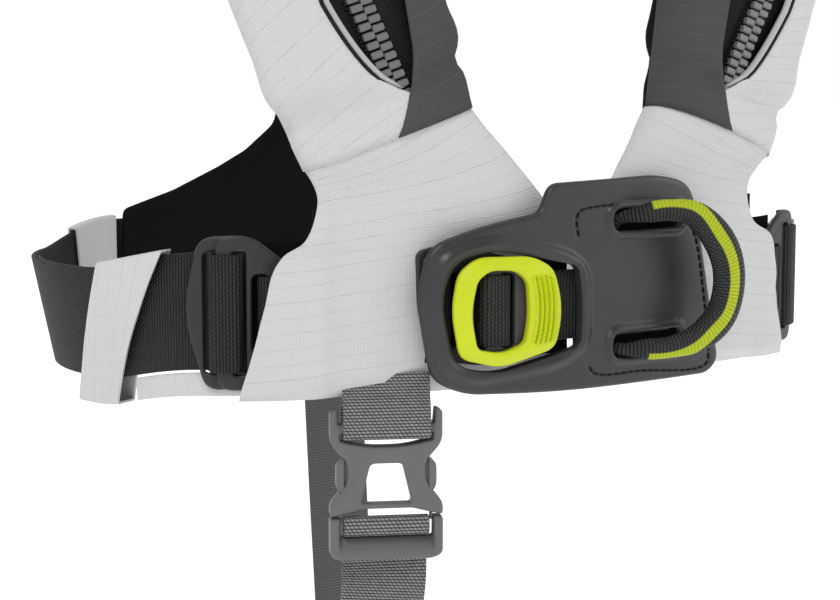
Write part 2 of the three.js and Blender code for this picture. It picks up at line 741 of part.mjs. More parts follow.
// Centre line of the textile loop on the plate: arc length, height and distance out.
const LOOP = [
  [11, 29.2, 23.4], [15.5, 31, 28.5], [24, 32.4, 32.5], [33, 30.8, 35.5], [40.7, 23.7, 37.5],
  [45.6, 14.5, 38.5], [46.8, 4.4, 38.5], [44.2, -6, 37.5], [36.9, -13.4, 35], [26.6, -16.6, 31.5],
  [17, -17, 27.5], [11, -16.8, 23.4],
  [10, -15.4, 18.9], [10, -8, 17.9], [10, 21, 17.9],
];
function softLoop() {
  const route = new THREE.CatmullRomCurve3(
    LOOP.map(([s, z, r]) => onWaist(s, r, z)),
    true,
    "centripetal",
  );
  const spans = 44;
  const { out } = waist(30);
  const stations = Array.from({ length: spans }, (_, i) => {
    const k = i / spans;
    const along = route.getTangent(k);
    const face = out.clone().addScaledVector(along, -out.dot(along)).normalize();
    return { at: route.getPoint(k), across: new THREE.Vector3().crossVectors(face, along), out: face };
  });
  const section = ({ at }) => {
    const free = THREE.MathUtils.smoothstep(at.x, 26, 54);
    const inside = THREE.MathUtils.smoothstep(at.x, 12, 22);
    const [wide, thick] = [2.2 + 1.6 * inside + 3.4 * free, 1.6 + 1.2 * inside + 0.8 * free];
    return Array.from({ length: 8 }, (_, i) => {
      const angle = (i * Math.PI) / 4;
      return [wide * Math.cos(angle), thick * Math.sin(angle)];
    });
  };
  add("soft_loop", loft(stations, section, true), MATERIAL.lime);
}

// ---------------------------------------------------------------- belt

// Arc lengths on the right adjuster, which the left one mirrors.
const ADJUSTER = {
  rise: 127, drop: 117, plateOuter: [2.7, 4.7], plateInner: [5.5, 7.5], over: 8.6, spread: 1.045,
};

// At the sides the belt follows the body: it leans in towards its lower edge and sits lower.
const LEAN = { starts: 0.62, full: 1.25, eases: 2.2, ends: 2.9, inward: 5, slope: 0.2, drop: 7.5 };
function leaned(geometry) {
  const places = geometry.attributes.position;
  const point = new THREE.Vector3();
  for (let i = 0; i < places.count; i++) {
    point.fromBufferAttribute(places, i);
    const side = Math.sign(point.x);
    const reach = new THREE.Vector2(Math.max(0, Math.abs(point.x) - WAIST.sideX), point.y);
    const angle = Math.atan2(reach.x, -reach.y);
    const eased = THREE.MathUtils.smoothstep(angle, LEAN.eases, LEAN.ends);
    const share = THREE.MathUtils.smoothstep(angle, LEAN.starts, LEAN.full) * (1 - eased);
    const inward = share * (LEAN.inward + LEAN.slope * (WEB.waist / 2 - point.z));
    reach.normalize();
    const [x, y] = [point.x - side * inward * reach.x, point.y - inward * reach.y];
    places.setXYZ(i, x, y, point.z - share * LEAN.drop);
  }
  geometry.computeVertexNormals();
  return geometry;
}

function belt() {
  const { rise, drop, over } = ADJUSTER;
  const side = [
    ...every(-236, -124, 14).map((s) => [s, LAYER.tail]), [-119, -0.7], [-drop, 1.4],
    [-drop, 5.2], [-drop - 1.6, over - 0.3], [-rise + 4.4, over], [-rise + 1.2, over - 0.7], [-rise, 5.4],
    [-rise - 0.1, 3.2], [-rise - 1.6, 1.5], [-rise - 6, LAYER.belt], [-150, LAYER.belt],
  ];
  const back = [...every(-158, -342, 23), -370, -400].map((s) => [s, LAYER.belt]);
  const mirror = ([s, r]) => [-2 * HALF_WAIST - s, r];
  const half = [...side, ...back];
  const route = [...half, [-HALF_WAIST, LAYER.belt], ...half.map(mirror).reverse()];
  const strap = webbing(route, WEB.waist, { spans: 3 * (route.length - 1) });
  add("belt_webbing", leaned(strap), MATERIAL.ribbed);
}

function adjusters() {
  const s = -119;
  const at = (x) => (x - s) * ADJUSTER.spread;
  const outerEdge = outline([
    [at(-136.6), 0, 30], [at(-131), 25.6, 8], [at(-118.8), 26, 1], [at(-118.8), -26, 1],
    [at(-129), -26.6, 10],
  ]);
  const outerWindow = box(at(-129.4), at(-122), -20.6, 20.6, 2);
  addPair("adjuster_outer", bent(outerEdge, s, ADJUSTER.plateOuter, [outerWindow]), MATERIAL.darkPlastic);
  const innerEdge = outline([
    [at(-125.2), 26, 8], [at(-114), 26.4, 5], [at(-100), 15, 3], [at(-100), -15, 3], [at(-114), -26.4, 5],
    [at(-125.2), -26, 8],
  ]);
  const holes = [
    box(at(-119.8), at(-115.6), -20.8, 20.8, 1),
    box(at(-113.6), at(-108.4), -13.2, 13.2, 1.5),
  ];
  addPair("adjuster_inner", bent(innerEdge, s, ADJUSTER.plateInner, holes), MATERIAL.darkPlastic);
  const tie = webbing(
    [
      [-99, 8.6], [-105, 8.6], [-109.4, 8.2], [-111.2, 6], [-110.6, 3], [-107, 1.4], [-100, 1.1],
      [-60, 1.1], [-20, 1.1],
    ],
    WEB.narrow,
  );
  addPair("adjuster_webbing", tie, MATERIAL.ribbed);
}

// Fabric sleeve round the belt: a C-shaped section, open by a slit on its body side.
function sleeve(places, [z0, z1], [r0, r1]) {
  const t = 0.9;
  const run = (from, to, r) => every(from, to, 3).map((z) => [z, r]);
  return loft(places.map(waistStation), () => [
    ...run(-0.4, z0, r0),
    ...run(z0, z1, r1),
    ...run(z1, 0.4, r0),
    ...run(0.4, z1 - t, r0 + t),
    ...run(z1 - t, z0 + t, r1 - t),
    ...run(z0 + t, -0.4, r0 + t),
  ]);
}

// Turns a piece on the right side round the body so that its lower end trails backwards.
function slanted(geometry, slope) {
  const places = geometry.attributes.position;
  for (let i = 0; i < places.count; i++) {
    const reach = new THREE.Vector2(places.getX(i) + WAIST.sideX, places.getY(i));
    reach.rotateAround(new THREE.Vector2(), (slope * places.getZ(i)) / WAIST.sideRadius);
    places.setXY(i, reach.x - WAIST.sideX, reach.y);
  }
  return geometry;
}

function keepers() {
  const band = sleeve(every(-154, -181, 10), [-29.4, 21.8], [-4.3, 5.2]);
  addPair("keeper_band", leaned(slanted(band, 0.5)), MATERIAL.white);
  const tab = sleeve(every(-296, -321.2, 8), [-21.8, 21.8], [-1.4, 3.5]);
  addPair("keeper_tab", leaned(tab), MATERIAL.white);
  const strip = webbing([[-159, 1, -25], [-140, 1, -25], [-112, 1, -25]], 8, { spans: 8, thick: 1.2 });
  addPair("side_strip", leaned(strip), MATERIAL.white);
}

function backPad() {
  const top = [[97, 24], [72, 31], [50, 40], [36, 47], [22, 58], [19, 68]];
  const left = top.map(([x, z]) => [-x, z, 3]);
  const edge = outline([
    ...top.toReversed().map(([x, z]) => [x, z, 3]), [98, -22, 8], [80, -28, 8], [-80, -28, 8], [-98, -22, 8],
    ...left,
  ].toReversed());
  add("back_pad", bent(edge, HALF_WAIST - 0.001, [-6.2, -0.5], []), MATERIAL.black);
  const places = [[0, 97, 24], [0, 97, 60], [0, 100, 120], [0, 107, 190], [0, 114, 245], [0, 119, 279]];
  const route = new THREE.CatmullRomCurve3(places.map((place) => new THREE.Vector3(...place)));
  const right = new THREE.Vector3(1, 0, 0);
  add("back_strap", strip(route.getPoints(14), () => right, 36, 2.6), MATERIAL.black);
}

// ---------------------------------------------------------------- crotch strap

// The buckle hangs in its own frame: x across it, y up from its top edge, z out.
const BUCKLE = { at: [-73, -101, -33], turn: -22, thick: 7 };
const buckleFrame = new THREE.Matrix4()
  .makeTranslation(...BUCKLE.at)
  .multiply(new THREE.Matrix4().makeRotationZ(THREE.MathUtils.degToRad(BUCKLE.turn)))
  .multiply(new THREE.Matrix4().makeRotationX(Math.PI / 2));

const bothSides = (half) => [...half, ...half.map(([x, y, r]) => [-x, y, r]).reverse()];

function inBuckle(shape, holes, thickness, middle = 0) {
  return plate(shape, thickness, holes, 2).translate(0, 0, middle - thickness / 2);
}

function buckleFemale() {
  const edge = outline(bothSides([
    [16.4, -5.4, 0.5], [16.8, 0, 1], [19.3, -1, 2], [19.3, -12, 3], [13.4, -18.5, 3], [13.6, -26, 3],
    [19.5, -33, 2], [19.5, -37.4, 1.5], [9, -34.8, 1],
  ]));
  const loopSlot = outline(bothSides([[16, -8.4, 0.5], [16, -10.9, 0.5], [6, -13.2, 4]]));
  const window = outline(bothSides([[5.6, -19, 2], [9, -33.2, 1.5]]));
  const cavity = inBuckle(outline(bothSides([[18, -15.5], [18, -24], [16.5, -29], [16.5, -45]])), [], 3.8);
  const body = cut(inBuckle(edge, [loopSlot, window], BUCKLE.thick), cavity);
  add("buckle_female", body.applyMatrix4(buckleFrame), MATERIAL.greyPlastic);
}

function buckleMale() {
  const frame = outline(bothSides([[16.4, -38], [19.5, -38, 1], [19.5, -51, 3], [16, -52.6, 3]]));
  const mouth = outline(bothSides([[16.2, -37], [16.2, -45.2, 1]]));
  const body = cut(inBuckle(frame, [], BUCKLE.thick), inBuckle(mouth, [], 20));
  const bar = inBuckle(box(-16.8, 16.8, -42.4, -39.6, 1), [], 2.6, 0.6);
  add("buckle_male", joined(body, bar).applyMatrix4(buckleFrame), MATERIAL.greyPlastic);
}

function prongs() {
  const arm = [
    [15.1, -39.2], [15.1, -36.6], [13.4, -33, 2], [12.2, -17.6, 1], [14.6, -17, 1], [17.2, -19.5, 1],
    [17.3, -25, 1],
    [17.1, -27, 0.5], [16.1, -29.4, 0.5], [16.05, -39.2],
  ];
  const left = arm.toReversed();
  const right = arm.map(([x, y, r]) => [-x, y, r]);
  for (const [name, corners] of [["prong_left", left], ["prong_right", right]]) {
    add(name, inBuckle(outline(corners), [], 3.2).applyMatrix4(buckleFrame), MATERIAL.greyPlastic);
  }
}

const bucklePoint = ([y, z]) => new THREE.Vector3(0, y, z).applyMatrix4(buckleFrame);
const buckleAcross = new THREE.Vector3(1, 0, 0).transformDirection(buckleFrame);

const CROTCH_LOOP = [
  [12, -1.1], [5, -2], [0, -4], [-5, -4.8], [-9, -4.5], [-10, -2.6], [-10, 2.6], [-9, 4.5], [-5, 4.8],
  [0, 4],
  [5, 2], [12, 1.1],
];
function crotchLoop() {
  const route = new THREE.CatmullRomCurve3(CROTCH_LOOP.map(bucklePoint), false, "centripetal");
  const places = route.getPoints(3 * (CROTCH_LOOP.length - 1));
  add("crotch_loop", strip(places, () => buckleAcross, WEB.crotch, 1.4), MATERIAL.webbing);
}

// Route of the crotch strap: round the male half's bar, down, under and up to the back of the belt.
const STRAP_WRAP = [
  [-62, -7], [-50, -7], [-44, -6.7], [-41.6, -4.6], [-40, -2.5], [-38.6, -1], [-38.2, 0.6],
  [-38.7, 2.5], [-41, 3.2],
  [-43.2, 2.4], [-43.8, 0.6], [-43.8, -2], [-44.6, -4.4], [-47, -5], [-52, -5], [-60, -5],
];
const STRAP_FRONT = [
  [-72, -95, -112], [-73, -96, -150], [-72, -94, -195], [-66, -82, -250], [-50, -46, -305],
];
const STRAP_BOTTOM = [-22, 6, -325];
const STRAP_REAR = [
  [4, 56, -298], [12, 86, -235], [14, 97, -160], [12, 99, -100], [9, 98.4, -30], [9, 98, 16],
];

function crotchStraps() {
  const world = [...STRAP_FRONT, STRAP_BOTTOM, ...STRAP_REAR].map((place) => new THREE.Vector3(...place));
  const points = [...STRAP_WRAP.map(bucklePoint), ...world];
  const route = new THREE.CatmullRomCurve3(points, false, "centripetal");
  const wrapped = (STRAP_WRAP.length - 1) / (points.length - 1);
  const bottom = (STRAP_WRAP.length + STRAP_FRONT.length) / (points.length - 1);
  const sideways = new THREE.Vector3(1, 0, 0);
  const between = (from, to, spans) => {
    const at = (i) => from + ((to - from) * i) / spans;
    const places = Array.from({ length: spans + 1 }, (_, i) => route.getPoint(at(i)));
    const turned = (k) => THREE.MathUtils.inverseLerp(wrapped, bottom, from + (to - from) * k);
    const acrossAt = (k) => buckleAcross.clone().lerp(sideways, THREE.MathUtils.clamp(turned(k), 0, 1));
    return strip(places, acrossAt, WEB.crotch - 0.6, 1.4);
  };
  const joint = 1.5e-4;
  const frontSpans = 3 * (STRAP_WRAP.length + STRAP_FRONT.length);
  add("crotch_strap_front", between(0, bottom - joint, frontSpans), MATERIAL.webbing);
  add("crotch_strap_rear", between(bottom + joint, 1, 3 * STRAP_REAR.length), MATERIAL.webbing);
}

coverPanels();
piping();
zip();
zipSlider();
bladder();
inflator();
oralTube();
whistle();
positionLight();
boots();
frontPlate();
receiver();
toggle();
toggleWebbing();
softLoop();
belt();
adjusters();
keepers();
backPad();
crotchLoop();
buckleFemale();
buckleMale();
prongs();
crotchStraps();

export default jacket;
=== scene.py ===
"""Looks of an inflatable life jacket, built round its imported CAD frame.

Lengths in this file are in millimetres until a mesh is made. A place on the belt line is an arc
length s, a distance r out from the wearer's waist line and a height z. A place on a lobe is a
station t (-1 at the right lobe's seam, 0 behind the neck, 1 at the left) and a turn in degrees
from the lobe's neck edge over its front.
"""

import math

import bpy
import numpy as np
from mathutils import Matrix, Vector, geometry, noise


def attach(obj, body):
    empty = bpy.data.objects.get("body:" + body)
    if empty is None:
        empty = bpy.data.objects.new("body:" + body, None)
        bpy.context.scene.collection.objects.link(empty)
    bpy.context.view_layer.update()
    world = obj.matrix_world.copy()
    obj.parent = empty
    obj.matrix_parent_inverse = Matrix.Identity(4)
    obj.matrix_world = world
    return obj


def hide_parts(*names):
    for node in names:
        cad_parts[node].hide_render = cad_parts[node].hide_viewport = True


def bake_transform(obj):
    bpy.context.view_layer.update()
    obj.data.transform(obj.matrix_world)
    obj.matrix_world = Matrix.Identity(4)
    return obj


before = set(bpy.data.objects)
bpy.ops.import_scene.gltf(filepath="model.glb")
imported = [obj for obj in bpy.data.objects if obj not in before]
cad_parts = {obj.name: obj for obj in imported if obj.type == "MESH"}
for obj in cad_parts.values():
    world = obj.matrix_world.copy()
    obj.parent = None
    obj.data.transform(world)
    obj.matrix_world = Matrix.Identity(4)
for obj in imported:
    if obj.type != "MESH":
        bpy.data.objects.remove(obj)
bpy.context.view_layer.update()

MM = 0.001

# ------------------------------------------------------------------ driving dimensions

WAIST_DEPTH, FRONT_RADIUS, SIDE_RADIUS, SIDE_X = 95, 386, 85, 77
JOIN = math.asin(SIDE_X / (FRONT_RADIUS - SIDE_RADIUS))
FRONT_ARC = FRONT_RADIUS * JOIN
HALF_WAIST = 2 * FRONT_ARC + SIDE_RADIUS * (math.pi - 2 * JOIN)
FRONT_CENTRE_Y = FRONT_RADIUS - WAIST_DEPTH

WEB_THICK, BELT_WIDE, NARROW_WIDE, CROTCH_WIDE = 1.6, 40, 25, 30
PLATE_BACK, PLATE_FRONT, HOUSING, SLOT_RIM = 21.4, 24, 26.4, 25.4
CORE_BACK, CORE_FRONT, RING_BACK, RING_FRONT = 21.2, 24.2, 24.7, 29
TOGGLE_X = -36
BELT_TAIL, BELT_LAYER = -1, 1.1

# Stations of the right lobe from its seam to the back of the neck: place, direction it faces,
# half width and depth.
LOBE = [
    ((-68.5, -95, 58), (-0.15, -0.98, 0.1), 32, 12),
    ((-84, -89, 105), (-0.12, -0.98, 0.12), 36, 18),
    ((-95, -87, 150), (-0.12, -0.98, 0.1), 40, 26),
    ((-102, -86, 195), (-0.12, -0.98, 0.15), 42, 28),
    ((-105, -77, 240), (-0.15, -0.93, 0.33), 43, 27),
    ((-104, -50, 283), (-0.2, -0.7, 0.68), 41, 24),
    ((-99, -2, 308), (-0.25, -0.1, 0.96), 38, 21),
    ((-83, 42, 316), (-0.35, 0.25, 0.9), 36, 19),
    ((-48, 76, 312), (-0.25, 0.5, 0.83), 36, 18),
    ((0, 90, 308), (0, 0.62, 0.78), 37, 18),
]
SQUARENESS = 0.85
COVER_THICK = 1.2
SEAM = 0.0006

# ------------------------------------------------------------------ places


def unit(v):
    v = np.asarray(v, float)
    return v / np.linalg.norm(v, axis=-1, keepdims=True)


def smooth(x, low, high):
    t = np.clip((np.asarray(x, float) - low) / (high - low), 0, 1)
    return t * t * (3 - 2 * t)


def waist(s):
    """Place and outward direction at arc length s along the belt line, 0 at the front."""
    whole = 2 * HALF_WAIST
    near = s - whole * round(s / whole)
    side = -1 if near < 0 else 1
    run = abs(near)
    if run < FRONT_ARC or run > HALF_WAIST - FRONT_ARC:
        rear = run > FRONT_ARC
        angle = (HALF_WAIST - run if rear else run) / FRONT_RADIUS
        back = 1 if rear else -1
        x = FRONT_RADIUS * math.sin(angle)
        y = back * (FRONT_RADIUS * math.cos(angle) - FRONT_CENTRE_Y)
        out = (math.sin(angle), back * math.cos(angle))
    else:
        angle = JOIN + (run - FRONT_ARC) / SIDE_RADIUS
        out = (math.sin(angle), -math.cos(angle))
        x = SIDE_X + SIDE_RADIUS * out[0]
        y = SIDE_RADIUS * out[1]
    return np.array([side * x, y, 0.0]), np.array([side * out[0], out[1], 0.0])


def on_waist(s, r, z):
    at, out = waist(s)
    return at + out * r + np.array([0, 0, z])


def beside_waist(s, turn=1):
    """Frame that stands a flat piece on the belt line: x along it, y up, z outwards."""
    at, out = waist(s)
    along = np.array([-out[1], out[0], 0]) * turn
    return at, along, np.array([0, 0, 1.0]), out


class Route:
    """Smooth curve through points, sampled from 0 to 1."""

    def __init__(self, points, closed=False, uniform=False):
        self.points = [np.asarray(p, float) for p in points]
        self.closed = closed
        self.uniform = uniform

    def at(self, k):
        points, count = self.points, len(self.points)
        place = (count if self.closed else count - 1) * k
        i = min(int(math.floor(place)), count - 1 if self.closed else count - 2)
        w = place - i
        b, c = points[i % count], points[(i + 1) % count]
        a = points[(i - 1) % count] if self.closed or i > 0 else 2 * b - c
        d = points[(i + 2) % count] if self.closed or i + 2 < count else 2 * c - b
        if self.uniform:
            start, end = (c - a) / 2, (d - b) / 2
        else:
            e, f, g = [max(np.linalg.norm(q - p), 1e-6) ** 0.5 for p, q in ((a, b), (b, c), (c, d))]
            start = ((b - a) / e - (c - a) / (e + f) + (c - b) / f) * f
            end = ((c - b) / f - (d - b) / (f + g) + (d - c) / g) * f
        return b + start * w + (3 * (c - b) - 2 * start - end) * w**2 + (2 * (b - c) + start + end) * w**3

    def sample(self, count, start=0, end=1):
        return np.array([self.at(start + (end - start) * i / count) for i in range(count + 1)])


MIRROR = np.array([-1, 1, 1])
WHOLE_LOBE = LOBE + [(MIRROR * at, MIRROR * out, half, deep) for at, out, half, deep in LOBE[-2::-1]]
LOBE_PLACE = Route([key[0] for key in WHOLE_LOBE], uniform=True)
LOBE_OUT = Route([key[1] for key in WHOLE_LOBE], uniform=True)
LOBE_SIZE = Route([key[2:] for key in WHOLE_LOBE], uniform=True)


def lobe(t):
    """Station of the horseshoe: place, directions across, out and along, half width, depth."""
    k = (t + 1) / 2
    along = unit(LOBE_PLACE.at(min(1, k + 0.002)) - LOBE_PLACE.at(max(0, k - 0.002)))
    out = LOBE_OUT.at(k)
    out = unit(out - along * out.dot(along))
    half, deep = LOBE_SIZE.at(k)
    return LOBE_PLACE.at(k), np.cross(out, along), out, along, half, deep


def around(turn, half, deep):
    """Point of a lobe's section: across and out from its middle."""
    angle = math.radians(turn)
    c, s = math.cos(angle), math.sin(angle)
    return (
        -half * math.copysign(abs(c) ** SQUARENESS, c),
        deep * math.copysign(abs(s) ** SQUARENESS, s),
    )


def lobe_point(station, turn, inset=0.0, lift=0.0):
    at, across, out, _, half, deep = station
    u, v = around(turn, half - inset, deep - inset)
    return at + across * u + out * (v + lift)


# ------------------------------------------------------------------ meshes


def corners_to_outline(corners, steps=7):
    """Outline through corners (x, y, radius), anticlockwise, with rounded corners."""
    points = [np.array(c[:2], float) for c in corners]
    area = sum(a[0] * b[1] - b[0] * a[1] for a, b in zip(points, points[1:] + points[:1]))
    radii = [c[2] if len(c) > 2 else 0 for c in corners]
    if area < 0:
        points, radii = points[::-1], radii[::-1]
    out = []
    for i, (here, radius) in enumerate(zip(points, radii)):
        before, after = points[i - 1] - here, points[(i + 1) % len(points)] - here
        reach = min(radius, np.linalg.norm(before) / 2.1, np.linalg.norm(after) / 2.1)
        if reach <= 0:
            out.append(here)
            continue
        start, end = here + unit(before) * reach, here + unit(after) * reach
        for w in np.linspace(0, 1, steps + 1):
            out.append(start * (1 - w) ** 2 + here * 2 * w * (1 - w) + end * w**2)
    return np.array(out)


def box_outline(x0, x1, y0, y1, radius=0):
    return corners_to_outline([(x0, y0, radius), (x1, y0, radius), (x1, y1, radius), (x0, y1, radius)])


def both_sides(half):
    return list(half) + [(-c[0], *c[1:]) for c in reversed(half)]


def make_piece(name, shape, material, body, replaces=(), sharp=None):
    """Mesh object from a shape in millimetres, riding on a body.

    A shape is vertices, faces and, where the material needs them, UVs: a pair for each face corner.
    """
    verts, faces, *uvs = shape
    mesh = bpy.data.meshes.new(name)
    mesh.from_pydata((np.asarray(verts, float) * MM).tolist(), [], [list(f) for f in faces])
    if uvs:
        layer = mesh.uv_layers.new(name="UVMap")
        layer.data.foreach_set("uv", (np.asarray(uvs[0], float) * MM).ravel())
    mesh.validate()
    mesh.update()
    mesh.shade_smooth()
    if sharp:
        mesh.set_sharp_from_angle(angle=math.radians(sharp))
    for one in material if isinstance(material, (list, tuple)) else [material]:
        mesh.materials.append(one)
    obj = bpy.data.objects.new(name, mesh)
    bpy.context.scene.collection.objects.link(obj)
    if body:
        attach(obj, body)
    if replaces:
        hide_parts(*replaces)
    return obj


def skin(rings, closed=False):
    """Vertices, faces and face-corner UVs (mm) of a skin through equal rings, capped at its ends."""
    rings = np.asarray(rings, float)
    n, m = rings.shape[:2]
    steps = np.linalg.norm(np.diff(rings, axis=0, append=rings[:1]), axis=2).mean(1)
    along = np.concatenate([[0], np.cumsum(steps)])
    wide = np.linalg.norm(np.diff(rings, axis=1, append=rings[:, :1]), axis=2).mean(0)
    across = np.concatenate([[0], np.cumsum(wide)])
    faces, uvs = [], []
    for i in range(n if closed else n - 1):
        k = (i + 1) % n
        for j in range(m):
            l = (j + 1) % m
            faces.append((i * m + j, i * m + l, k * m + l, k * m + j))
            uvs += [(along[i], across[j]), (along[i], across[j + 1])]
            uvs += [(along[i + 1], across[j + 1]), (along[i + 1], across[j])]
    if not closed:
        for first, flip, u in ((0, True, 0), ((n - 1) * m, False, along[n - 1])):
            order = [first + j for j in range(m)]
            faces.append(tuple(order[::-1] if flip else order))
            uvs += [(u, across[j]) for j in (range(m - 1, -1, -1) if flip else range(m))]
    verts = rings.reshape(-1, 3)
    if signed_volume(verts, faces) < 0:
        turned, k = [], 0
        for face in faces:
            turned += uvs[k : k + len(face)][::-1]
            k += len(face)
        faces, uvs = [face[::-1] for face in faces], turned
    return verts, faces, uvs


def signed_volume(verts, faces):
    total = 0.0
    for face in faces:
        a = verts[face[0]]
        for b, c in zip(face[1:], face[2:]):
            total += a.dot(np.cross(verts[b], verts[c]))
    return total


def grid_normals(grid):
    du = np.gradient(grid, axis=0)
    dv = np.gradient(grid, axis=1)
    return unit(np.cross(du, dv))


def shell_rings(grid, thick, flip=False):
    """Rings of a sheet of cloth with rounded hems; grid is its outer face."""
    normal = grid_normals(grid) * (-1 if flip else 1)
    inner = grid - normal * thick
    middle = (grid + inner) / 2
    first = middle[:, :1] + unit(grid[:, :1] - grid[:, 1:2]) * thick * 0.4
    last = middle[:, -1:] + unit(grid[:, -1:] - grid[:, -2:-1]) * thick * 0.4
    return np.concatenate([first, grid, last, inner[:, ::-1]], axis=1)


def strip_rings(places, across, width, thick, crown=0.0):
    """Rings of flat webbing with rounded edges along places, its width along the across vectors."""
    along = unit(np.gradient(places, axis=0))
    out = unit(np.cross(along, across))
    wide = np.cross(out, along)
    w, h = width / 2, thick / 2
    half_side = [(-w, -h * 0.5), (-w + h * 0.6, -h), (-w / 2, -h)]
    side = half_side + [(0, -h)] + [(-x, y) for x, y in reversed(half_side)]
    section = side + [(x, -y) for x, y in reversed(side)]
    return np.stack([places + wide * x + out * (y + crown * (1 - (x / w) ** 2)) for x, y in section], axis=1)


def webbing_places(points, step=0.7):
    """Places along webbing given as arc length, distance out and height."""
    route = Route([(p[0], p[1], p[2] if len(p) > 2 else 0) for p in points])
    rough = route.sample(12 * len(points))
    length = np.linalg.norm(np.diff(rough, axis=0), axis=1).sum()
    return np.array([on_waist(*p) for p in route.sample(int(length / step))])


def edge_distance(points, loops):
    """Distance from each point to the nearest edge of the loops."""
    best = np.full(len(points), 1e9)
    for loop in loops:
        for a, b in zip(loop, np.roll(loop, -1, axis=0)):
            along = b - a
            k = np.clip(((points - a) @ along) / max(along @ along, 1e-12), 0, 1)
            best = np.minimum(best, np.linalg.norm(points - a - k[:, None] * along, axis=1))
    return best


def inside(points, loops):
    """Whether each point is inside the loops by the even-odd rule."""
    found = np.zeros(len(points), bool)
    x, y = points[:, 0], points[:, 1]
    for loop in loops:
        for (ax, ay), (bx, by) in zip(loop, np.roll(loop, -1, axis=0)):
            crosses = (ay > y) != (by > y)
            with np.errstate(divide="ignore", invalid="ignore"):
                found ^= crosses & (x < ax + (y - ay) * (bx - ax) / (by - ay))
    return found


def resampled(loop, step):
    out = []
    for a, b in zip(loop, np.roll(loop, -1, axis=0)):
        count = max(1, int(np.linalg.norm(b - a) / step))
        out += [a + (b - a) * i / count for i in range(count)]
    return np.array(out)


def relief(outer, holes, top, bottom, place, step=1.0, rows=(0.2, 0.5, 0.9)):
    """Moulded plate: a flat outline with holes whose faces have heights top and bottom.

    top and bottom take the points and their distance from the nearest edge; place maps
    points and heights to space.
    """
    loops = [resampled(loop, step) for loop in (outer, *holes)]
    points = [loop for loop in loops]
    for loop in loops:
        side = np.roll(loop, -1, axis=0) - np.roll(loop, 1, axis=0)
        normal = unit(np.stack([-side[:, 1], side[:, 0]], axis=1) + 1e-9)
        for row in rows:
            for sign in (1, -1):
                moved = loop + normal * row * sign
                keep = inside(moved, loops) & (edge_distance(moved, loops) > row * 0.8)
                points.append(moved[keep])
    low, high = outer.min(0), outer.max(0)
    xs = np.arange(low[0], high[0], step)
    ys = np.arange(low[1], high[1], step * 0.87)
    grid = np.array([(x + (step / 2 if j % 2 else 0), y) for j, y in enumerate(ys) for x in xs])
    grid = grid[inside(grid, loops)]
    points.append(grid[edge_distance(grid, loops) > rows[-1] + step * 0.3])
    edges, first = [], 0
    for loop in loops:
        edges += [(first + i, first + (i + 1) % len(loop)) for i in range(len(loop))]
        first += len(loop)
    flat = [Vector(p) for p in np.concatenate(points)]
    found = geometry.delaunay_2d_cdt(flat, edges, [], 0, 1e-5)
    flat = np.array([tuple(v) for v in found[0]])
    triangles = [tuple(f) for f in found[2]]
    middles = np.array([flat[list(f)].mean(0) for f in triangles])
    triangles = [f for f, keep in zip(triangles, inside(middles, loops)) if keep]
    used = sorted({i for f in triangles for i in f})
    index = {old: new for new, old in enumerate(used)}
    flat = flat[used]
    triangles = [tuple(index[i] for i in f) for f in triangles]
    n = len(flat)
    distance = edge_distance(flat, loops)
    verts = np.concatenate([place(flat, top(flat, distance)), place(flat, bottom(flat, distance))])
    directed = {(f[i], f[(i + 1) % 3]) for f in triangles for i in range(3)}
    walls = [(b, a, a + n, b + n) for a, b in sorted(directed) if (b, a) not in directed]
    faces = triangles + [(c + n, b + n, a + n) for a, b, c in triangles] + walls
    uvs = [flat[i % n] for face in faces for i in face]
    return verts, faces, uvs


def rounded_edge(distance, radius, drop=None):
    """How far a face falls near its edge, for an edge rounded with a radius."""
    k = np.clip(1 - distance / radius, 0, 1)
    return (drop or radius) * (1 - np.sqrt(1 - k**2))


def on_front(points, heights):
    """Points of the front plate: x and z as they are, the height as a distance out from the waist."""
    y = FRONT_CENTRE_Y - np.sqrt((FRONT_RADIUS + heights) ** 2 - points[:, 0] ** 2)
    return np.stack([points[:, 0], y, points[:, 1]], axis=1)


def in_frame(origin, across, up, out):
    """Place function for a flat piece in a frame."""

    def place(points, heights):
        return origin + points[:, :1] * across + points[:, 1:2] * up + heights[:, None] * out

    return place


def stitches(path, pitch=3.0, long=2.3, radius=0.28):
    """Thread as short capsules laid end to end along a path of places."""
    path = np.asarray(path, float)
    run = np.concatenate([[0], np.cumsum(np.linalg.norm(np.diff(path, axis=0), axis=1))])
    at = lambda reach: np.array([np.interp(reach, run, path[:, k]) for k in range(3)])
    turns = np.arange(6) * math.pi / 3
    verts, faces = [], []
    for i in range(int(run[-1] / pitch)):
        a, b = at(i * pitch), at(i * pitch + long)
        along = unit(b - a)
        side = unit(np.cross(along, (0.13, -0.9, 0.41)))
        up = np.cross(side, along)
        first = len(verts)
        for k, size in ((0, 0.35), (0.12, 0.9), (0.5, 1.15), (0.88, 0.9), (1, 0.35)):
            centre = a + (b - a) * k
            verts += [centre + radius * size * (side * math.cos(q) + up * math.sin(q)) for q in turns]
        for ring in range(4):
            base = first + 6 * ring
            faces += [(base + q, base + (q + 1) % 6, base + 6 + (q + 1) % 6, base + 6 + q) for q in range(6)]
        faces += [tuple(first + q for q in range(5, -1, -1)), tuple(first + 24 + q for q in range(6))]
    return verts, faces


def wrinkle(points, size, seed, stretch=(1, 1, 1)):
    """Smooth noise from -1 to 1 at points in millimetres."""
    offset = Vector((seed * 7.3, seed * 3.1, seed * 5.7))
    flat = (np.asarray(points).reshape(-1, 3) * np.array(stretch) / size).tolist()
    return np.array([noise.noise(Vector(p) + offset) for p in flat]).reshape(np.shape(points)[:-1])


# ------------------------------------------------------------------ materials


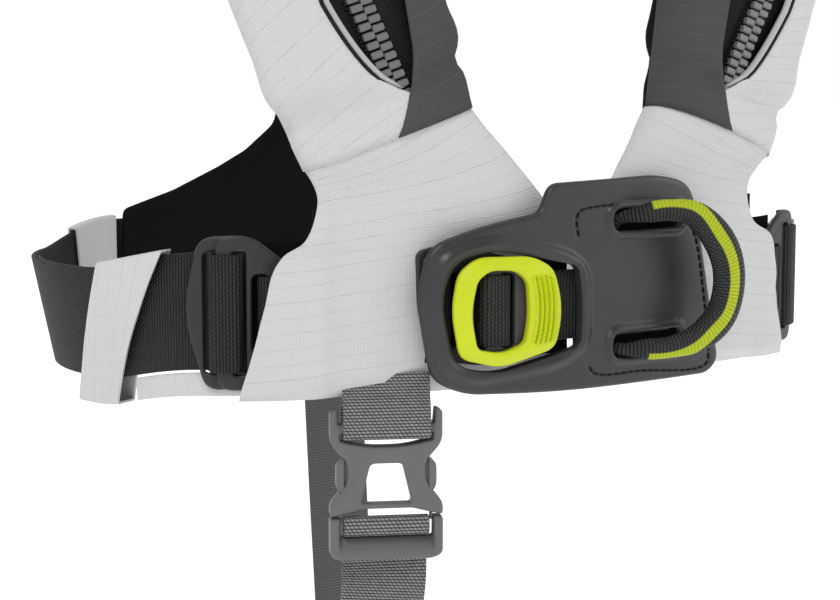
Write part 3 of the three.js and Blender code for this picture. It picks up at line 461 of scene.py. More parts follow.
class Shade:
    """A Principled material and small helpers for its node tree."""

    def __init__(self, name, color, roughness, **sockets):
        self.material = bpy.data.materials.new(name)
        self.material.use_nodes = True
        self.tree = self.material.node_tree
        self.surface = self.tree.nodes["Principled BSDF"]
        self.surface.inputs["Base Color"].default_value = (*color, 1)
        self.surface.inputs["Roughness"].default_value = roughness
        for socket, value in sockets.items():
            self.surface.inputs[socket.replace("_", " ")].default_value = value

    def put(self, socket, value):
        if isinstance(value, bpy.types.NodeSocket):
            self.tree.links.new(value, socket)
        else:
            socket.default_value = value

    def node(self, kind, inputs=(), **settings):
        made = self.tree.nodes.new(kind)
        for key, value in settings.items():
            setattr(made, key, value)
        for key, value in dict(inputs).items():
            self.put(made.inputs[key], value)
        return made

    def math(self, operation, a, b=0.0, c=0.0):
        made = self.node("ShaderNodeMath", operation=operation)
        for socket, value in zip(made.inputs, (a, b, c)):
            self.put(socket, value)
        return made.outputs[0]

    def uv(self):
        """The sheet's own coordinates in metres: along and across."""
        return self.coordinates("UVMap")

    def coordinates(self, layer):
        found = self.node("ShaderNodeUVMap", uv_map=layer)
        split = self.node("ShaderNodeSeparateXYZ", {0: found.outputs[0]})
        return split.outputs[0], split.outputs[1]

    def striped(self):
        """1 inside a stripe: half widths from its middle, and whether it shows, are "Stripe" coordinates."""
        offset, shown = self.coordinates("Stripe")
        near = self.math("ABSOLUTE", offset)
        ramp = self.node("ShaderNodeMapRange", {0: near, 1: 0.85, 2: 1.1, 3: 1.0, 4: 0.0})
        return self.math("MULTIPLY", ramp.outputs[0], shown)

    def place(self):
        return self.node("ShaderNodeTexCoord").outputs["Object"]

    def noise(self, scale, detail=3.0):
        inputs = {"Scale": scale, "Detail": detail, "Vector": self.place()}
        return self.node("ShaderNodeTexNoise", inputs).outputs["Fac"]

    def wave(self, value, pitch, phase=0.0):
        """Sine of a coordinate in metres, from 0 to 1."""
        turned = self.math("MULTIPLY_ADD", value, 2 * math.pi / pitch, phase)
        return self.math("MULTIPLY_ADD", self.math("SINE", turned), 0.5, 0.5)

    def line(self, value, pitch, width):
        """1 on thin lines a pitch apart, 0 between them."""
        near = self.math("PINGPONG", value, pitch / 2)
        ends = {0: near, 1: 0.0, 2: width, 3: 1.0, 4: 0.0}
        ramp = self.node("ShaderNodeMapRange", ends, interpolation_type="SMOOTHSTEP")
        return ramp.outputs[0]

    def mix(self, factor, a, b):
        """Colour between a and b."""
        made = self.node("ShaderNodeMix", data_type="RGBA")
        self.put(made.inputs[0], factor)
        self.put(made.inputs[6], (*a, 1) if isinstance(a, tuple) else a)
        self.put(made.inputs[7], (*b, 1) if isinstance(b, tuple) else b)
        return made.outputs[2]

    def color(self, value):
        self.tree.links.new(value, self.surface.inputs["Base Color"])

    def roughness(self, value, low, high):
        ramp = self.node("ShaderNodeMapRange", {0: value, 1: 0.3, 2: 0.7, 3: low, 4: high})
        self.tree.links.new(ramp.outputs[0], self.surface.inputs["Roughness"])

    def bump(self, height, distance, strength=1.0):
        """Bump from a height of 0 to 1 that stands distance metres tall."""
        made = self.node("ShaderNodeBump", {"Height": height, "Distance": distance, "Strength": strength})
        self.tree.links.new(made.outputs[0], self.surface.inputs["Normal"])


def ripstop(name, color, line_color, slant, pitch=0.0053):
    """Coated ripstop cloth: a fine weave with thin ridges a few millimetres apart."""
    shade = Shade(name, color, 0.82, Specular_IOR_Level=0.12)
    u, v = shade.uv()
    c, s = math.cos(math.radians(slant)), math.sin(math.radians(slant))
    a = shade.math("MULTIPLY_ADD", u, c, shade.math("MULTIPLY", v, s))
    b = shade.math("MULTIPLY_ADD", u, -s, shade.math("MULTIPLY", v, c))
    a = shade.math("MULTIPLY_ADD", shade.noise(45, 2), 0.0012, a)
    ridge = shade.line(a, pitch, 0.00026)
    faint = shade.math("MULTIPLY", shade.line(b, pitch, 0.00022), 0.25)
    broken = shade.math("MULTIPLY", shade.math("MAXIMUM", ridge, faint), shade.noise(190, 1))
    lines = shade.math("MULTIPLY", broken, 1.7)
    weave = shade.math("MULTIPLY", shade.wave(a, 0.00095), shade.wave(b, 0.00095))
    rough = shade.math("MULTIPLY_ADD", shade.noise(700, 3), 0.5, shade.math("MULTIPLY", weave, 0.6))
    shadow = shade.math("MULTIPLY_ADD", shade.noise(20, 4), 0.3, shade.math("MULTIPLY", lines, 0.5))
    shade.color(shade.mix(shade.math("MULTIPLY_ADD", rough, 0.3, shadow), color, line_color))
    shade.bump(shade.math("ADD", shade.math("MULTIPLY", lines, 0.6), rough), 0.00016)
    return shade.material


def lining_cloth():
    """Black bonded stretch cloth: nearly smooth and quite dull."""
    shade = Shade("black_lining", (0.006, 0.006, 0.0065), 0.9, Specular_IOR_Level=0.06)
    shade.color(shade.mix(shade.noise(14, 4), (0.004, 0.004, 0.0045), (0.009, 0.009, 0.01)))
    shade.bump(shade.noise(1500, 3), 0.00015, 0.5)
    return shade.material


def woven(name, dark, light, rib, thread, bump=0.0004, roughness=0.6, stripe=None):
    """Woven webbing: ribs across its length, each of slanted threads, lighter on their tops and dark in the
    gaps between: partly the weave's own dash pattern, partly painted highlights on the threads and painted
    shade in the gaps.

    A stripe colour replaces the thread colour where the "Stripe" coordinates say so; it is darkened in the
    gaps between ribs as painted shade.
    """
    shade = Shade(name, light, roughness, Specular_IOR_Level=0.2)
    u, v = shade.uv()
    ridge = shade.math("POWER", shade.wave(u, rib), 0.6)
    dashes = shade.wave(v, thread, shade.math("MULTIPLY", u, math.pi / rib))
    height = shade.math("MULTIPLY", ridge, shade.math("MULTIPLY_ADD", dashes, 0.65, 0.35))
    # Painted highlights on the threads' tops and painted shade in the gaps, varied at random like wear.
    glint_shade_and_wear = shade.math("MULTIPLY", height, shade.math("MULTIPLY_ADD", shade.noise(500, 2), -0.7, 1.3))
    color = shade.mix(glint_shade_and_wear, dark, light)
    if stripe:
        # The stripe too takes painted shade in the gaps between ribs.
        shown = shade.math("MULTIPLY", shade.striped(), shade.math("MULTIPLY_ADD", height, 0.35, 0.65))
        color = shade.mix(shown, color, stripe)
    shade.color(color)
    shade.bump(height, bump)
    return shade.material


def moulded(name, color, roughness, grain=0.25, scale=1400, **sockets):
    """Moulded plastic with a fine grain and slight variation in gloss."""
    shade = Shade(name, color, roughness, **sockets)
    lighter = tuple(min(1, c * 1.18 + 0.002) for c in color)
    shade.color(shade.mix(shade.noise(38, 5), color, lighter))
    shade.roughness(shade.noise(90, 4), roughness - 0.06, roughness + 0.07)
    shade.bump(shade.noise(scale, 2), 0.00008, grain)
    return shade.material


def brushed_metal():
    shade = Shade("steel", (0.55, 0.56, 0.58), 0.32, Metallic=1.0)
    shade.roughness(shade.noise(300, 4), 0.25, 0.42)
    shade.bump(shade.noise(1200, 2), 0.00005, 0.3)
    return shade.material


WHITE = ripstop("white_ripstop", (0.55, 0.55, 0.553), (0.47, 0.47, 0.473), 22)
WHITE_BOOT = ripstop("white_ripstop_boot", (0.55, 0.55, 0.553), (0.47, 0.47, 0.473), 8)
GREY = ripstop("grey_ripstop", (0.048, 0.048, 0.05), (0.1, 0.1, 0.103), 8)
BLACK = lining_cloth()
PIPING = moulded("piping", (0.33, 0.335, 0.345), 0.35, 0.1)
TAPE = woven("zip_tape", (0.002, 0.002, 0.002), (0.02, 0.02, 0.021), 0.0009, 0.0012)
TOOTH = moulded("zip_teeth", (0.11, 0.111, 0.114), 0.45, 0.15)
DARK = moulded("dark_plastic", (0.02, 0.02, 0.0215), 0.45, 0.6, Specular_IOR_Level=0.35)
PLATE = moulded("charcoal_plate", (0.024, 0.024, 0.025), 0.36, 0.2, Specular_IOR_Level=0.4)
MID = moulded("grey_plastic", (0.105, 0.106, 0.109), 0.5, 0.5, Specular_IOR_Level=0.3)
CORE = moulded("core_plastic", (0.04, 0.04, 0.042), 0.4, 0.3, Specular_IOR_Level=0.35)
LIME = moulded("lime_plastic", (0.46, 0.53, 0.008), 0.4, 0.2, Specular_IOR_Level=0.3)
BELT_WEB = woven("black_webbing", (0.0015, 0.0015, 0.0018), (0.042, 0.042, 0.044), 0.0011, 0.0016)
BUCKLE_WEB = woven("buckle_webbing", (0.001, 0.001, 0.0012), (0.042, 0.042, 0.044), 0.0013, 0.0015)
GREY_WEB = woven("grey_webbing", (0.012, 0.012, 0.0125), (0.36, 0.36, 0.365), 0.00105, 0.0015)
PLAIN_WEB = woven("plain_webbing", (0.05, 0.05, 0.052), (0.115, 0.115, 0.118), 0.0013, 0.0013, bump=0.0001)
LIME_CLOTH = (0.5, 0.6, 0.01)
BRAID = woven(
    "braid", (0.001, 0.001, 0.001), (0.055, 0.055, 0.057), 0.0013, 0.0014, 0.0006, 0.45, LIME_CLOTH
)
THREAD = moulded("black_thread", (0.003, 0.003, 0.0035), 0.55, 0.6, 3000, Specular_IOR_Level=0.2)
PALE_THREAD = moulded("pale_thread", (0.55, 0.555, 0.565), 0.6, 0.6, 3000)
CHAMBER = ripstop("chamber", (0.55, 0.42, 0.02), (0.38, 0.28, 0.01), 0)
STEEL = brushed_metal()
RED = moulded("red_cap", (0.45, 0.035, 0.02), 0.4)
ORANGE = moulded("orange", (0.6, 0.12, 0.01), 0.4)
CLEAR = moulded("frosted", (0.6, 0.64, 0.67), 0.25, 0.1, Transmission_Weight=0.5)

# ------------------------------------------------------------------ lobes

SIDES = {"right": (-1, -SEAM), "left": (SEAM, 1)}
LOBE_STEPS = 150


def channel_edges(station):
    """Turns of the white and the grey edge: the zip channel closes to a point above the boot."""
    z = station[0][2]
    opened = math.sqrt(min(max((z - 70) / 36, 0), 1))
    middle = 76 + min(max(70 - z, 0), 12)
    return middle + 1 + 32 * opened, middle - 1 - 10 * opened


def chain_turn(station):
    """Turn at which the rows of teeth meet: it bends towards the neck near the closing point."""
    return 90 - 6.2 * (1 - min(max((station[0][2] - 72) / 32, 0), 1))


def lobe_wrinkles(grid, stations, seed):
    """How far the padded cloth stands in or out, fading at its seams."""
    height = np.array([station[0][2] for station in stations])[:, None]
    long = 1.1 * wrinkle(grid, 34, seed, (1, 1, 0.55)) + 0.55 * wrinkle(grid, 15, seed + 3, (1, 1, 0.8))
    fine = 0.22 * wrinkle(grid, 6, seed + 5)
    crease = -2.3 * np.exp(-(((height - 73 + 3 * wrinkle(grid, 30, seed + 9)) / 3.5) ** 2))
    swell = 1.4 * np.exp(-(((height - 84) / 7) ** 2))
    row, column = np.arange(grid.shape[0]), np.arange(grid.shape[1])
    edge = smooth(column, 0, 5) * smooth(column[::-1], 0, 5)
    ends = smooth(row, 0, 5) * smooth(row[::-1], 0, 3)
    return (long + fine + crease + swell) * edge[None] * ends[:, None]


def lobe_panel(name, side, turn_from, turn_to, columns, material, seed, lift=0.0):
    """One sewn panel of a lobe, between two turns that may depend on the station."""
    start, end = SIDES[side]
    stations = [lobe(start + (end - start) * i / LOBE_STEPS) for i in range(LOBE_STEPS + 1)]
    grid = []
    for st in stations:
        a, b = turn_from(st), turn_to(st)
        grid.append([lobe_point(st, a + (b - a) * j / columns, -lift) for j in range(columns + 1)])
    grid = np.array(grid)
    normal = grid_normals(grid)
    middle = np.array([st[0] for st in stations])[:, None]
    facing = np.sign(((grid - middle) * normal).sum(2).mean())
    grid = grid + normal * facing * lobe_wrinkles(grid, stations, seed)[:, :, None]
    shape = skin(shell_rings(grid, COVER_THICK, facing < 0))
    obj = make_piece(name, shape, material, "jacket", [name])


def lobes():
    white_from = lambda st: channel_edges(st)[0]
    white_to = lambda st: 198
    grey_from = lambda st: -5
    grey_to = lambda st: channel_edges(st)[1] + 3.5 * (1 - float(smooth(st[0][2], 70, 84)))
    black_from = lambda st: 201
    black_to = lambda st: 352
    for side, seed in (("right", 1), ("left", 21)):
        lobe_panel(f"cover_outer_{side}", side, white_from, white_to, 44, WHITE, seed)
        lobe_panel(f"cover_inner_{side}", side, grey_from, grey_to, 40, GREY, seed + 1, 0.5)
        lobe_panel(f"cover_lining_{side}", side, black_from, black_to, 40, BLACK, seed + 2)


PIPING_FOOT = 71.5


def piping():
    """Round beads along the white panels' edges, each in a dark fold of tape."""
    beads = (("piping", 1.3, -1.9, PIPING), ("piping_fold", 0.8, -0.2, THREAD))
    circle = np.arange(12) * math.pi / 6
    for side, start, end in (("right", -0.98, -SEAM), ("left", SEAM, 0.98)):
        stations = [lobe(start + (end - start) * i / LOBE_STEPS) for i in range(LOBE_STEPS + 1)]
        stations = [station for station in stations if station[0][2] > PIPING_FOOT]
        for name, radius, shift, material in beads:
            rings = []
            for station in stations:
                at, across, out, _, half, deep = station
                u, v = around(channel_edges(station)[0], half - 0.8, deep - 0.8)
                sunk = 1.8 * (1 - float(smooth(at[2], PIPING_FOOT, PIPING_FOOT + 8)))
                centre = at + across * (u + shift) + out * (v - sunk + (0.5 if shift > -1 else 0))
                rings.append([centre + radius * (across * math.cos(q) + out * math.sin(q)) for q in circle])
            shape = skin(rings)
            nodes = [f"piping_{side}"] if name == "piping" else []
            made = f"{name}_{side}"
            make_piece(made, shape, material, "jacket", nodes)


ZIP_END = 0.978


def zip_tapes():
    inset = 4
    spans = {
        "outer": (lambda st: chain_turn(st) + 0.6, lambda st: max(channel_edges(st)[0] + 6, 97)),
        "inner": (lambda st: channel_edges(st)[1] - 9, lambda st: chain_turn(st) - 0.6),
    }
    for row, (turn_from, turn_to) in spans.items():
        grid = []
        for i in range(2 * LOBE_STEPS + 1):
            station = lobe(ZIP_END * (i / LOBE_STEPS - 1))
            a, b = turn_from(station), turn_to(station)
            grid.append([lobe_point(station, a + (b - a) * j / 6, inset) for j in range(7)])
        shape = skin(shell_rings(np.array(grid), 0.8))
        name = f"zip_tape_{row}"
        make_piece(name, shape, TAPE, "jacket", [name])


TOOTH_PITCH = 3.4


def zip_teeth():
    """Moulded teeth in two rows, each half a pitch from the other, with a cord along the tape."""
    end = ZIP_END
    chain = [lobe(-end + 2 * end * i / 400) for i in range(401)]
    path = np.array([station[0] for station in chain])
    run = np.concatenate([[0], np.cumsum(np.linalg.norm(np.diff(path, axis=0), axis=1))])
    count = int(run[-1] / TOOTH_PITCH)
    profile = [(-1.3, -0.9), (-1.3, 0.5), (-0.9, 0.95), (0.9, 0.95), (1.3, 0.5), (1.3, -0.9)]
    for row, side, shift in (("outer", 1, 0.0), ("inner", -1, 0.5)):
        verts, faces = [], []
        for i in range(count):
            k = np.interp((i + shift) * TOOTH_PITCH + 1.4, run, np.arange(401)) / 400
            station = lobe(-end + 2 * end * k)
            at, across, out, along, half, deep = station
            at = at + across * around(chain_turn(station), half, deep)[0] + out * (deep - 4 + 1.75)
            first = len(verts)
            for u, size in ((0.1, 0.8), (0.5, 1), (3.7, 1), (4.2, 0.82)):
                verts += [at + across * u * side + along * a * size + out * b for a, b in profile]
            for ring in range(3):
                base = first + 6 * ring
                for q in range(6):
                    quad = (base + q, base + (q + 1) % 6, base + 6 + (q + 1) % 6, base + 6 + q)
                    faces.append(quad if side > 0 else quad[::-1])
            caps = [tuple(first + q for q in range(6)), tuple(first + 18 + q for q in range(6))]
            faces += [caps[0][::-1], caps[1]] if side > 0 else [caps[0], caps[1][::-1]]
        name = f"zip_teeth_{row}"
        make_piece(name, (verts, faces), TOOTH, "jacket", [name], sharp=30)
    for row, side in (("outer", 1), ("inner", -1)):
        rows = []
        for station in chain:
            at, across, out, _, half, deep = station
            middle = around(chain_turn(station), half, deep)[0]
            rows.append(at + across * (middle + 5.0 * side) + out * (deep - 4 + 0.9))
        shape = stitches(rows, 1.5, 0.9, 0.42)
        make_piece(f"zip_stitching_{row}", shape, TAPE, "jacket")


def bladder():
    """Inflation chamber, folded flat: its pleats show as shallow steps round the pack."""
    rings = []
    for i in range(121):
        at, across, out, _, half, deep = lobe(-0.96 + 1.92 * i / 120)
        thin = min(max(deep / 4, 3.5), 5.5)
        ring = []
        for turn in range(0, 360, 8):
            pleat = 1 - 0.05 * abs(math.sin(math.radians(turn) * 4))
            u, v = around(turn, (half - 6) * 0.9 * pleat, thin * pleat)
            ring.append(at + across * u + out * (v + thin + 6 - deep))
        rings.append(ring)
    shape = skin(rings)
    obj = make_piece("bladder_folds", shape, CHAMBER, "jacket", ["bladder"])


# ------------------------------------------------------------------ boots

# The boot's heights: arc lengths of its inner and outer edge and its thickness, hem to seam.
BOOT = [
    (-29, 3, 118, 3),
    (-24, 2, 117, 8),
    (-10, 2, 113, 9.4),
    (10, 2, 109, 9.4),
    (19, 3, 105, 9.4),
    (25, 6, 98, 9.4),
    (38, 13, 95, 10.5),
]
BOOT_BACK = 6.6
BOOT_POINTS = 120
BOOT_TRIM = {"right": 0, "left": 10}


# Painted shade: boxes behind the front plate's window and slots where the boots' front cloth is made black,
# as it lies in shade behind the plate.
PLATE_SHADE_BOXES = [(-60, 0, -20, 17), (2, 48, -24, 36)]


def boot_point(side, z, inner, outer, thick, u, v):
    s = (inner + outer) / 2 + (outer - inner) / 2 * u
    thick = thick - max(0, thick - 4) * float(smooth(s, 92, 116))
    back = BOOT_BACK + 3.4 * float(smooth(s, 86, 96))
    return on_waist(side * s, back + thick * (0.5 + 0.5 * v), z)


def boot(side_name, side, seed):
    turns = np.arange(BOOT_POINTS) * 360 / BOOT_POINTS
    key_rings = []
    for z, inner, outer, thick in BOOT:
        trimmed = outer - BOOT_TRIM[side_name]
        key_rings.append([boot_point(side, z, inner, trimmed, thick, *around(turn, 1, 1)) for turn in turns])
    at, across, out, along, half, deep = lobe(float(side))
    upward = along * (-side)
    top = []
    for turn in turns:
        u, v = around(turn, half - 0.5, deep - 0.5)
        top.append(at + upward * 0.8 + across * u + out * v)
    key_rings.append(top)
    key_rings = np.array(key_rings)
    levels = [0, 0.5, 1, 1.5, 2] + list(np.linspace(2.2, len(key_rings) - 1, 66))
    rings = []
    for level in levels:
        i = min(int(level), len(key_rings) - 2)
        w = level - i
        a = key_rings[max(i - 1, 0)]
        b, c = key_rings[i], key_rings[i + 1]
        d = key_rings[min(i + 2, len(key_rings) - 1)]
        start, end = (c - a) / 2, (d - b) / 2
        blend = b + start * w + (3 * (c - b) - 2 * start - end) * w**2 + (2 * (b - c) + start + end) * w**3
        rings.append(blend if i > 0 else b + (c - b) * w)
    rings = np.array(rings)
    normal = grid_normals(np.concatenate([rings[:, -1:], rings, rings[:, :1]], axis=1))[:, 1:-1]
    middle = rings.mean(1, keepdims=True)
    normal *= np.sign(((rings - middle) * normal).sum(2).mean())
    low = smooth(np.arange(len(rings)), 0, 6)
    high = smooth(len(rings) - 1 - np.arange(len(rings)), 0, 6)
    fold = 1.2 * wrinkle(rings, 30, seed, (0.7, 1, 1.2)) + 0.5 * wrinkle(rings, 12, seed + 1, (0.6, 1, 1.3))
    rings = rings + normal * (fold * (low * high)[:, None])[:, :, None]
    shape = skin(rings)
    looks = [WHITE_BOOT, BLACK]
    name = f"boot_{side_name}"
    obj = make_piece(name + "_cloth", shape, looks, "jacket", [name])
    for polygon in obj.data.polygons:
        x, y, z = polygon.center / MM
        in_plate_shade = any(x0 < x < x1 and z0 < z < z1 for x0, x1, z0, z1 in PLATE_SHADE_BOXES)
        # Painted shade: the boot's front faces behind the plate's openings take the black cloth.
        polygon.material_index = 1 if in_plate_shade and y < -80 else 0


def boots():
    for side_name, side, seed in (("right", -1, 40), ("left", 1, 47)):
        boot(side_name, side, seed)
        heights, reaches = np.linspace(-27, 34, 40), np.linspace(5, 93.8, 60)
        grid = np.array([[on_waist(side * s, 6.2, z) for z in heights] for s in reaches])
        normal = grid_normals(grid)
        normal *= np.sign((normal * grid).sum(2).mean())
        swell = smooth(np.arange(60), 0, 6) * smooth(59 - np.arange(60), 0, 6)
        tall = smooth(np.arange(40), 0, 5) * smooth(39 - np.arange(40), 0, 5)
        quilt = 0.5 * wrinkle(grid, 24, seed + 4)
        inner = grid - normal * (1.6 + (2 + quilt) * swell[:, None] * tall[None])[:, :, None]
        shape = skin(np.concatenate([grid, inner[:, ::-1]], axis=1))
        name = f"boot_lining_{side_name}"
        obj = make_piece(name + "_cloth", shape, BLACK, "jacket", [name])


# ------------------------------------------------------------------ front closure

PLATE_EDGE = [
    (-67, 6, 12), (-62.5, 22.5, 6), (-44, 28.6, 8), (-21.5, 32.6, 3), (-17.5, 42.6, 4), (30, 44.4, 10),
    (45, 41, 8), (51, 18, 10), (60.5, -25, 4), (55, -29.6, 4), (-13, -30.4, 20),
    (-50, -28.8, 10), (-62, -23, 6),
]
WINDOW = [
    (-59.4, 4.5, 14), (-55, 17, 6), (-40, 20.8, 8), (-6.5, 13.8, 3), (-4.6, -1, 8), (-5.4, -14.4, 3),
    (-40, -22, 8), (-55, -18, 6),
]
HOUSING_EDGE = [
    (-65.5, 5, 12), (-61.5, 21, 6), (-43, 27, 8), (-12, 22, 8), (-0.5, 14, 6), (0.5, -15, 6), (-12, -23, 8),
    (-49, -27, 10), (-60.8, -21, 6),
]
LOOP_SLOTS = [(8.2, 40.5, 25, 33), (8.6, 41, -20, -11)]
PLATE_SEAM = [
    (-6, 24), (-7, 29), (-6, 32.5), (-1.6, 33.7), (30, 34.6), (35, 33), (42, 28), (47, 21.6), (51.6, 1.5),
    (54.7, -19), (54, -26), (21, -25.6), (3.5, -25.5), (0, -24), (-1.7, -20),
]


def front_plate():
    window = corners_to_outline(WINDOW)
    housing = corners_to_outline(HOUSING_EDGE)
    slots = [box_outline(*slot, 3.8) for slot in LOOP_SLOTS]
    seam = Route([(*p, 0) for p in PLATE_SEAM]).sample(90)[:, :2]

    def top(points, distance):
        from_window = edge_distance(points, [window])
        in_housing = np.where(inside(points, [housing]), edge_distance(points, [housing]), 0)
        raised = (HOUSING - PLATE_FRONT) * smooth(in_housing, 0, 4.2)
        raised *= 1 - 0.55 * smooth(3.4 - from_window, 0, 3.4)
        from_slots = edge_distance(points, slots)
        bead = (SLOT_RIM - PLATE_FRONT) * np.sqrt(np.clip(1 - ((from_slots - 1.1) / 1.5) ** 2, 0, 1))
        groove = 0.35 * np.exp(-((open_distance(points, seam) / 0.7) ** 2))
        from_outer = edge_distance(points, [outer])
        rounding = rounded_edge(from_outer, 1.6, 1.4) + rounded_edge(distance, 0.5, 0.4)
        return PLATE_FRONT + raised + bead - groove - rounding

    outer = corners_to_outline(PLATE_EDGE)
    bottom = lambda points, distance: np.full(len(points), PLATE_BACK)
    shape = relief(outer, [window, *slots], top, bottom, on_front, 1.0)
    nodes = ["front_plate"]
    make_piece("front_plate_moulding", shape, PLATE, "jacket", nodes, 40)
    height = np.full(len(seam), PLATE_FRONT + 0.05)
    shape = stitches(on_front(seam, height), 3.1, 2.5, 0.34)
    make_piece("front_plate_stitching", shape, THREAD, "jacket")


def open_distance(points, path):
    """Distance from each point to an open path."""
    best = np.full(len(points), 1e9)
    for a, b in zip(path, path[1:]):
        along = b - a
        k = np.clip(((points - a) @ along) / max(along @ along, 1e-12), 0, 1)
        best = np.minimum(best, np.linalg.norm(points - a - k[:, None] * along, axis=1))
    return best


def receiver():
    edge = corners_to_outline(
        [
            (-64, 2, 3), (-64.6, 20.5, 3), (-58, 22, 2), (-40, 20, 4),
            (-18, 14, 4), (-18, -14, 4), (-40, -20, 4), (-60, -17, 6),
        ]
    )
    circle = np.linspace(0, 2 * math.pi, 20, False)
    eye = np.array([(-61.2 + 1.3 * math.cos(q), 17 + 1.3 * math.sin(q)) for q in circle])
    slot = box_outline(-52, -46, -12.8, 12.8, 2)
    top = lambda points, distance: 18 - rounded_edge(distance, 0.6)
    bottom = lambda points, distance: 16.4 + rounded_edge(distance, 0.3)
    shape = relief(edge, [eye, slot], top, bottom, on_front, 1.4)
    make_piece("buckle_receiver_plate", shape, DARK, "jacket", ["buckle_receiver"], 40)


RING_OUTER = [
    (-56.7, 1, 8), (-54.2, 13.6, 3.5), (-47, 18.6, 4), (-26, 18.2, 4), (-17.6, 13.8, 4), (-14.8, 3, 5),
    (-14.8, -5, 5), (-17, -14.2, 4), (-38, -19.7, 5), (-53.6, -15.8, 4),
]
RING_HOLE = [
    (-50, 0, 5), (-47.6, 10.6, 2), (-43, 14, 3), (-33, 13.6, 3), (-28.4, 9.6, 2.5), (-27.5, -2, 5),
    (-29.2, -11.6, 2.5),
    (-38, -14.6, 4), (-47.6, -12.8, 2.5),
]
CORE_EDGE = [
    (-55, 0, 12), (-52, 13, 5), (-40, 17.4, 8), (-19, 12.8, 4), (-17, -1, 8), (-19, -13, 4), (-40, -18, 8),
    (-52, -14, 5),
]


def under_plate(x):
    """Arc length on the belt line under a point at x on the front plate."""
    return x * FRONT_RADIUS / (FRONT_RADIUS + PLATE_FRONT)


def toggle():
    origin, across, up, out = beside_waist(under_plate(TOGGLE_X))
    place = in_frame(origin - across * TOGGLE_X, across, up, out)
    slots = [box_outline(-47.2, -42.4, -13, 12.4, 1.5), box_outline(-36.8, -31.8, -13, 12.4, 1.5)]
    core_top = lambda points, distance: CORE_FRONT - rounded_edge(distance, 0.8)
    core_bottom = lambda points, distance: CORE_BACK + rounded_edge(distance, 0.5)
    shape = relief(corners_to_outline(CORE_EDGE), slots, core_top, core_bottom, place, 1.2)
    make_piece("buckle_core_plate", shape, CORE, "buckle_toggle", ["buckle_core"], 40)

    outer, hole = corners_to_outline(RING_OUTER), corners_to_outline(RING_HOLE)

    def ring_top(points, distance):
        from_outer, from_hole = edge_distance(points, [outer]), edge_distance(points, [hole])
        facet = 2.0 * np.clip(1 - from_outer / 3.0, 0, 1) + 0.8 * np.clip(1 - from_hole / 1.3, 0, 1)
        reach = np.hypot(points[:, 0] + 66, points[:, 1])
        grips = smooth(reach, 40, 40.6) * smooth(49.4 - reach, 0, 0.8)
        grips *= smooth(12.4 - np.abs(points[:, 1]), 0, 1.5)
        grooves = 0.7 * grips * np.clip(np.cos(2 * math.pi * (reach - 40.9) / 1.8) * 1.6, -1, 1)
        return RING_FRONT - 0.5 - facet + grooves - rounded_edge(distance, 0.4)

    ring_bottom = lambda points, distance: RING_BACK + rounded_edge(distance, 0.4)
    shape = relief(outer, [hole], ring_top, ring_bottom, place, 0.55)
    make_piece("release_ring_moulding", shape, LIME, "release_ring", ["release_ring"], 50)


TOGGLE_WRAP = [
    (-7.4, 20.3), (-20, 20.3), (-42, 20.3), (-44.2, 21.2), (-44.4, 24.4), (-43.2, 25.7), (-39.6, 26),
    (-35.8, 25.7),
    (-34.4, 24.4), (-34.3, 21.8),
]


def toggle_webbing():
    """The toggle's webbing and its anchor under the plate, in one piece."""
    points = [(38, 20.3), (16, 20.3), (-2, 20.3), *TOGGLE_WRAP]
    places = webbing_places([(under_plate(x), r) for x, r in points], 0.5)
    across = np.tile([0, 0, 1.0], (len(places), 1))
    shape = skin(strip_rings(places, across, NARROW_WIDE - 0.6, 1.3))
    nodes = ["buckle_webbing", "buckle_webbing_anchor"]
    obj = make_piece("buckle_webbing_strip", shape, BUCKLE_WEB, None, nodes)
    start, end = on_waist(under_plate(-3), 20.3, 0) * MM, on_waist(under_plate(-10), 20.3, 0) * MM
    tuple(start)
    tuple(end)
    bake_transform(obj)


# Centre line of the textile loop: arc length, height and distance out.
LOOP = [
    (11, 29.2, 23.4), (15.5, 31, 28.5), (24, 32.4, 32.5), (33, 30.8, 35.5), (40.7, 23.7, 37.5),
    (45.6, 14.5, 38.5),
    (46.8, 4.4, 38.5), (44.2, -6, 37.5), (36.9, -13.4, 35), (26.6, -16.6, 31.5), (17, -17, 27.5),
    (11, -16.8, 23.4), (10, -15.4, 18.9), (10, -8, 17.9), (10, 21, 17.9),
]
STRIPE_HALF = 2.3


def soft_loop():
    """Tubular webbing with a lime stripe that turns from its outer edge to its face."""
    route = Route([on_waist(s, r, z) for s, z, r in LOOP], closed=True)
    count, points = 260, 40
    places = np.array([route.at(i / count) for i in range(count)])
    out = waist(30)[1]
    rings, stripes = [], []
    for i, at in enumerate(places):
        along = unit(places[(i + 1) % count] - places[i - 1])
        face = unit(out - along * out.dot(along))
        across = np.cross(face, along)
        free, within = float(smooth(at[0], 26, 54)), float(smooth(at[0], 12, 22))
        wide, thick = 2.2 + 1.6 * within + 3.4 * free, 1.6 + 1.2 * within + 0.8 * free
        angles = np.arange(points) * 2 * math.pi / points
        rings.append([at + across * wide * math.cos(q) + face * thick * math.sin(q) for q in angles])
        centre = math.cos(math.radians(18 + 74 * float(smooth(at[0], 24, 46))))
        shown = at[0] > 21 and at[1] < -100
        offset = lambda q: (math.cos(q) - centre) * wide / STRIPE_HALF
        stripes += [(offset(q), float(shown and math.sin(q) > -0.3)) for q in angles]
    shape = skin(rings, closed=True)
    obj = make_piece("soft_loop_cord", shape, BRAID, None, ["soft_loop"])
    layer = obj.data.uv_layers.new(name="Stripe")
    for loop in obj.data.loops:
        layer.data[loop.index].uv = stripes[loop.vertex_index]
    start, end = on_waist(10, 23, 0) * MM, on_waist(22, 31, 0) * MM
    tuple(start)
    tuple(end)
    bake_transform(obj)


# ------------------------------------------------------------------ belt

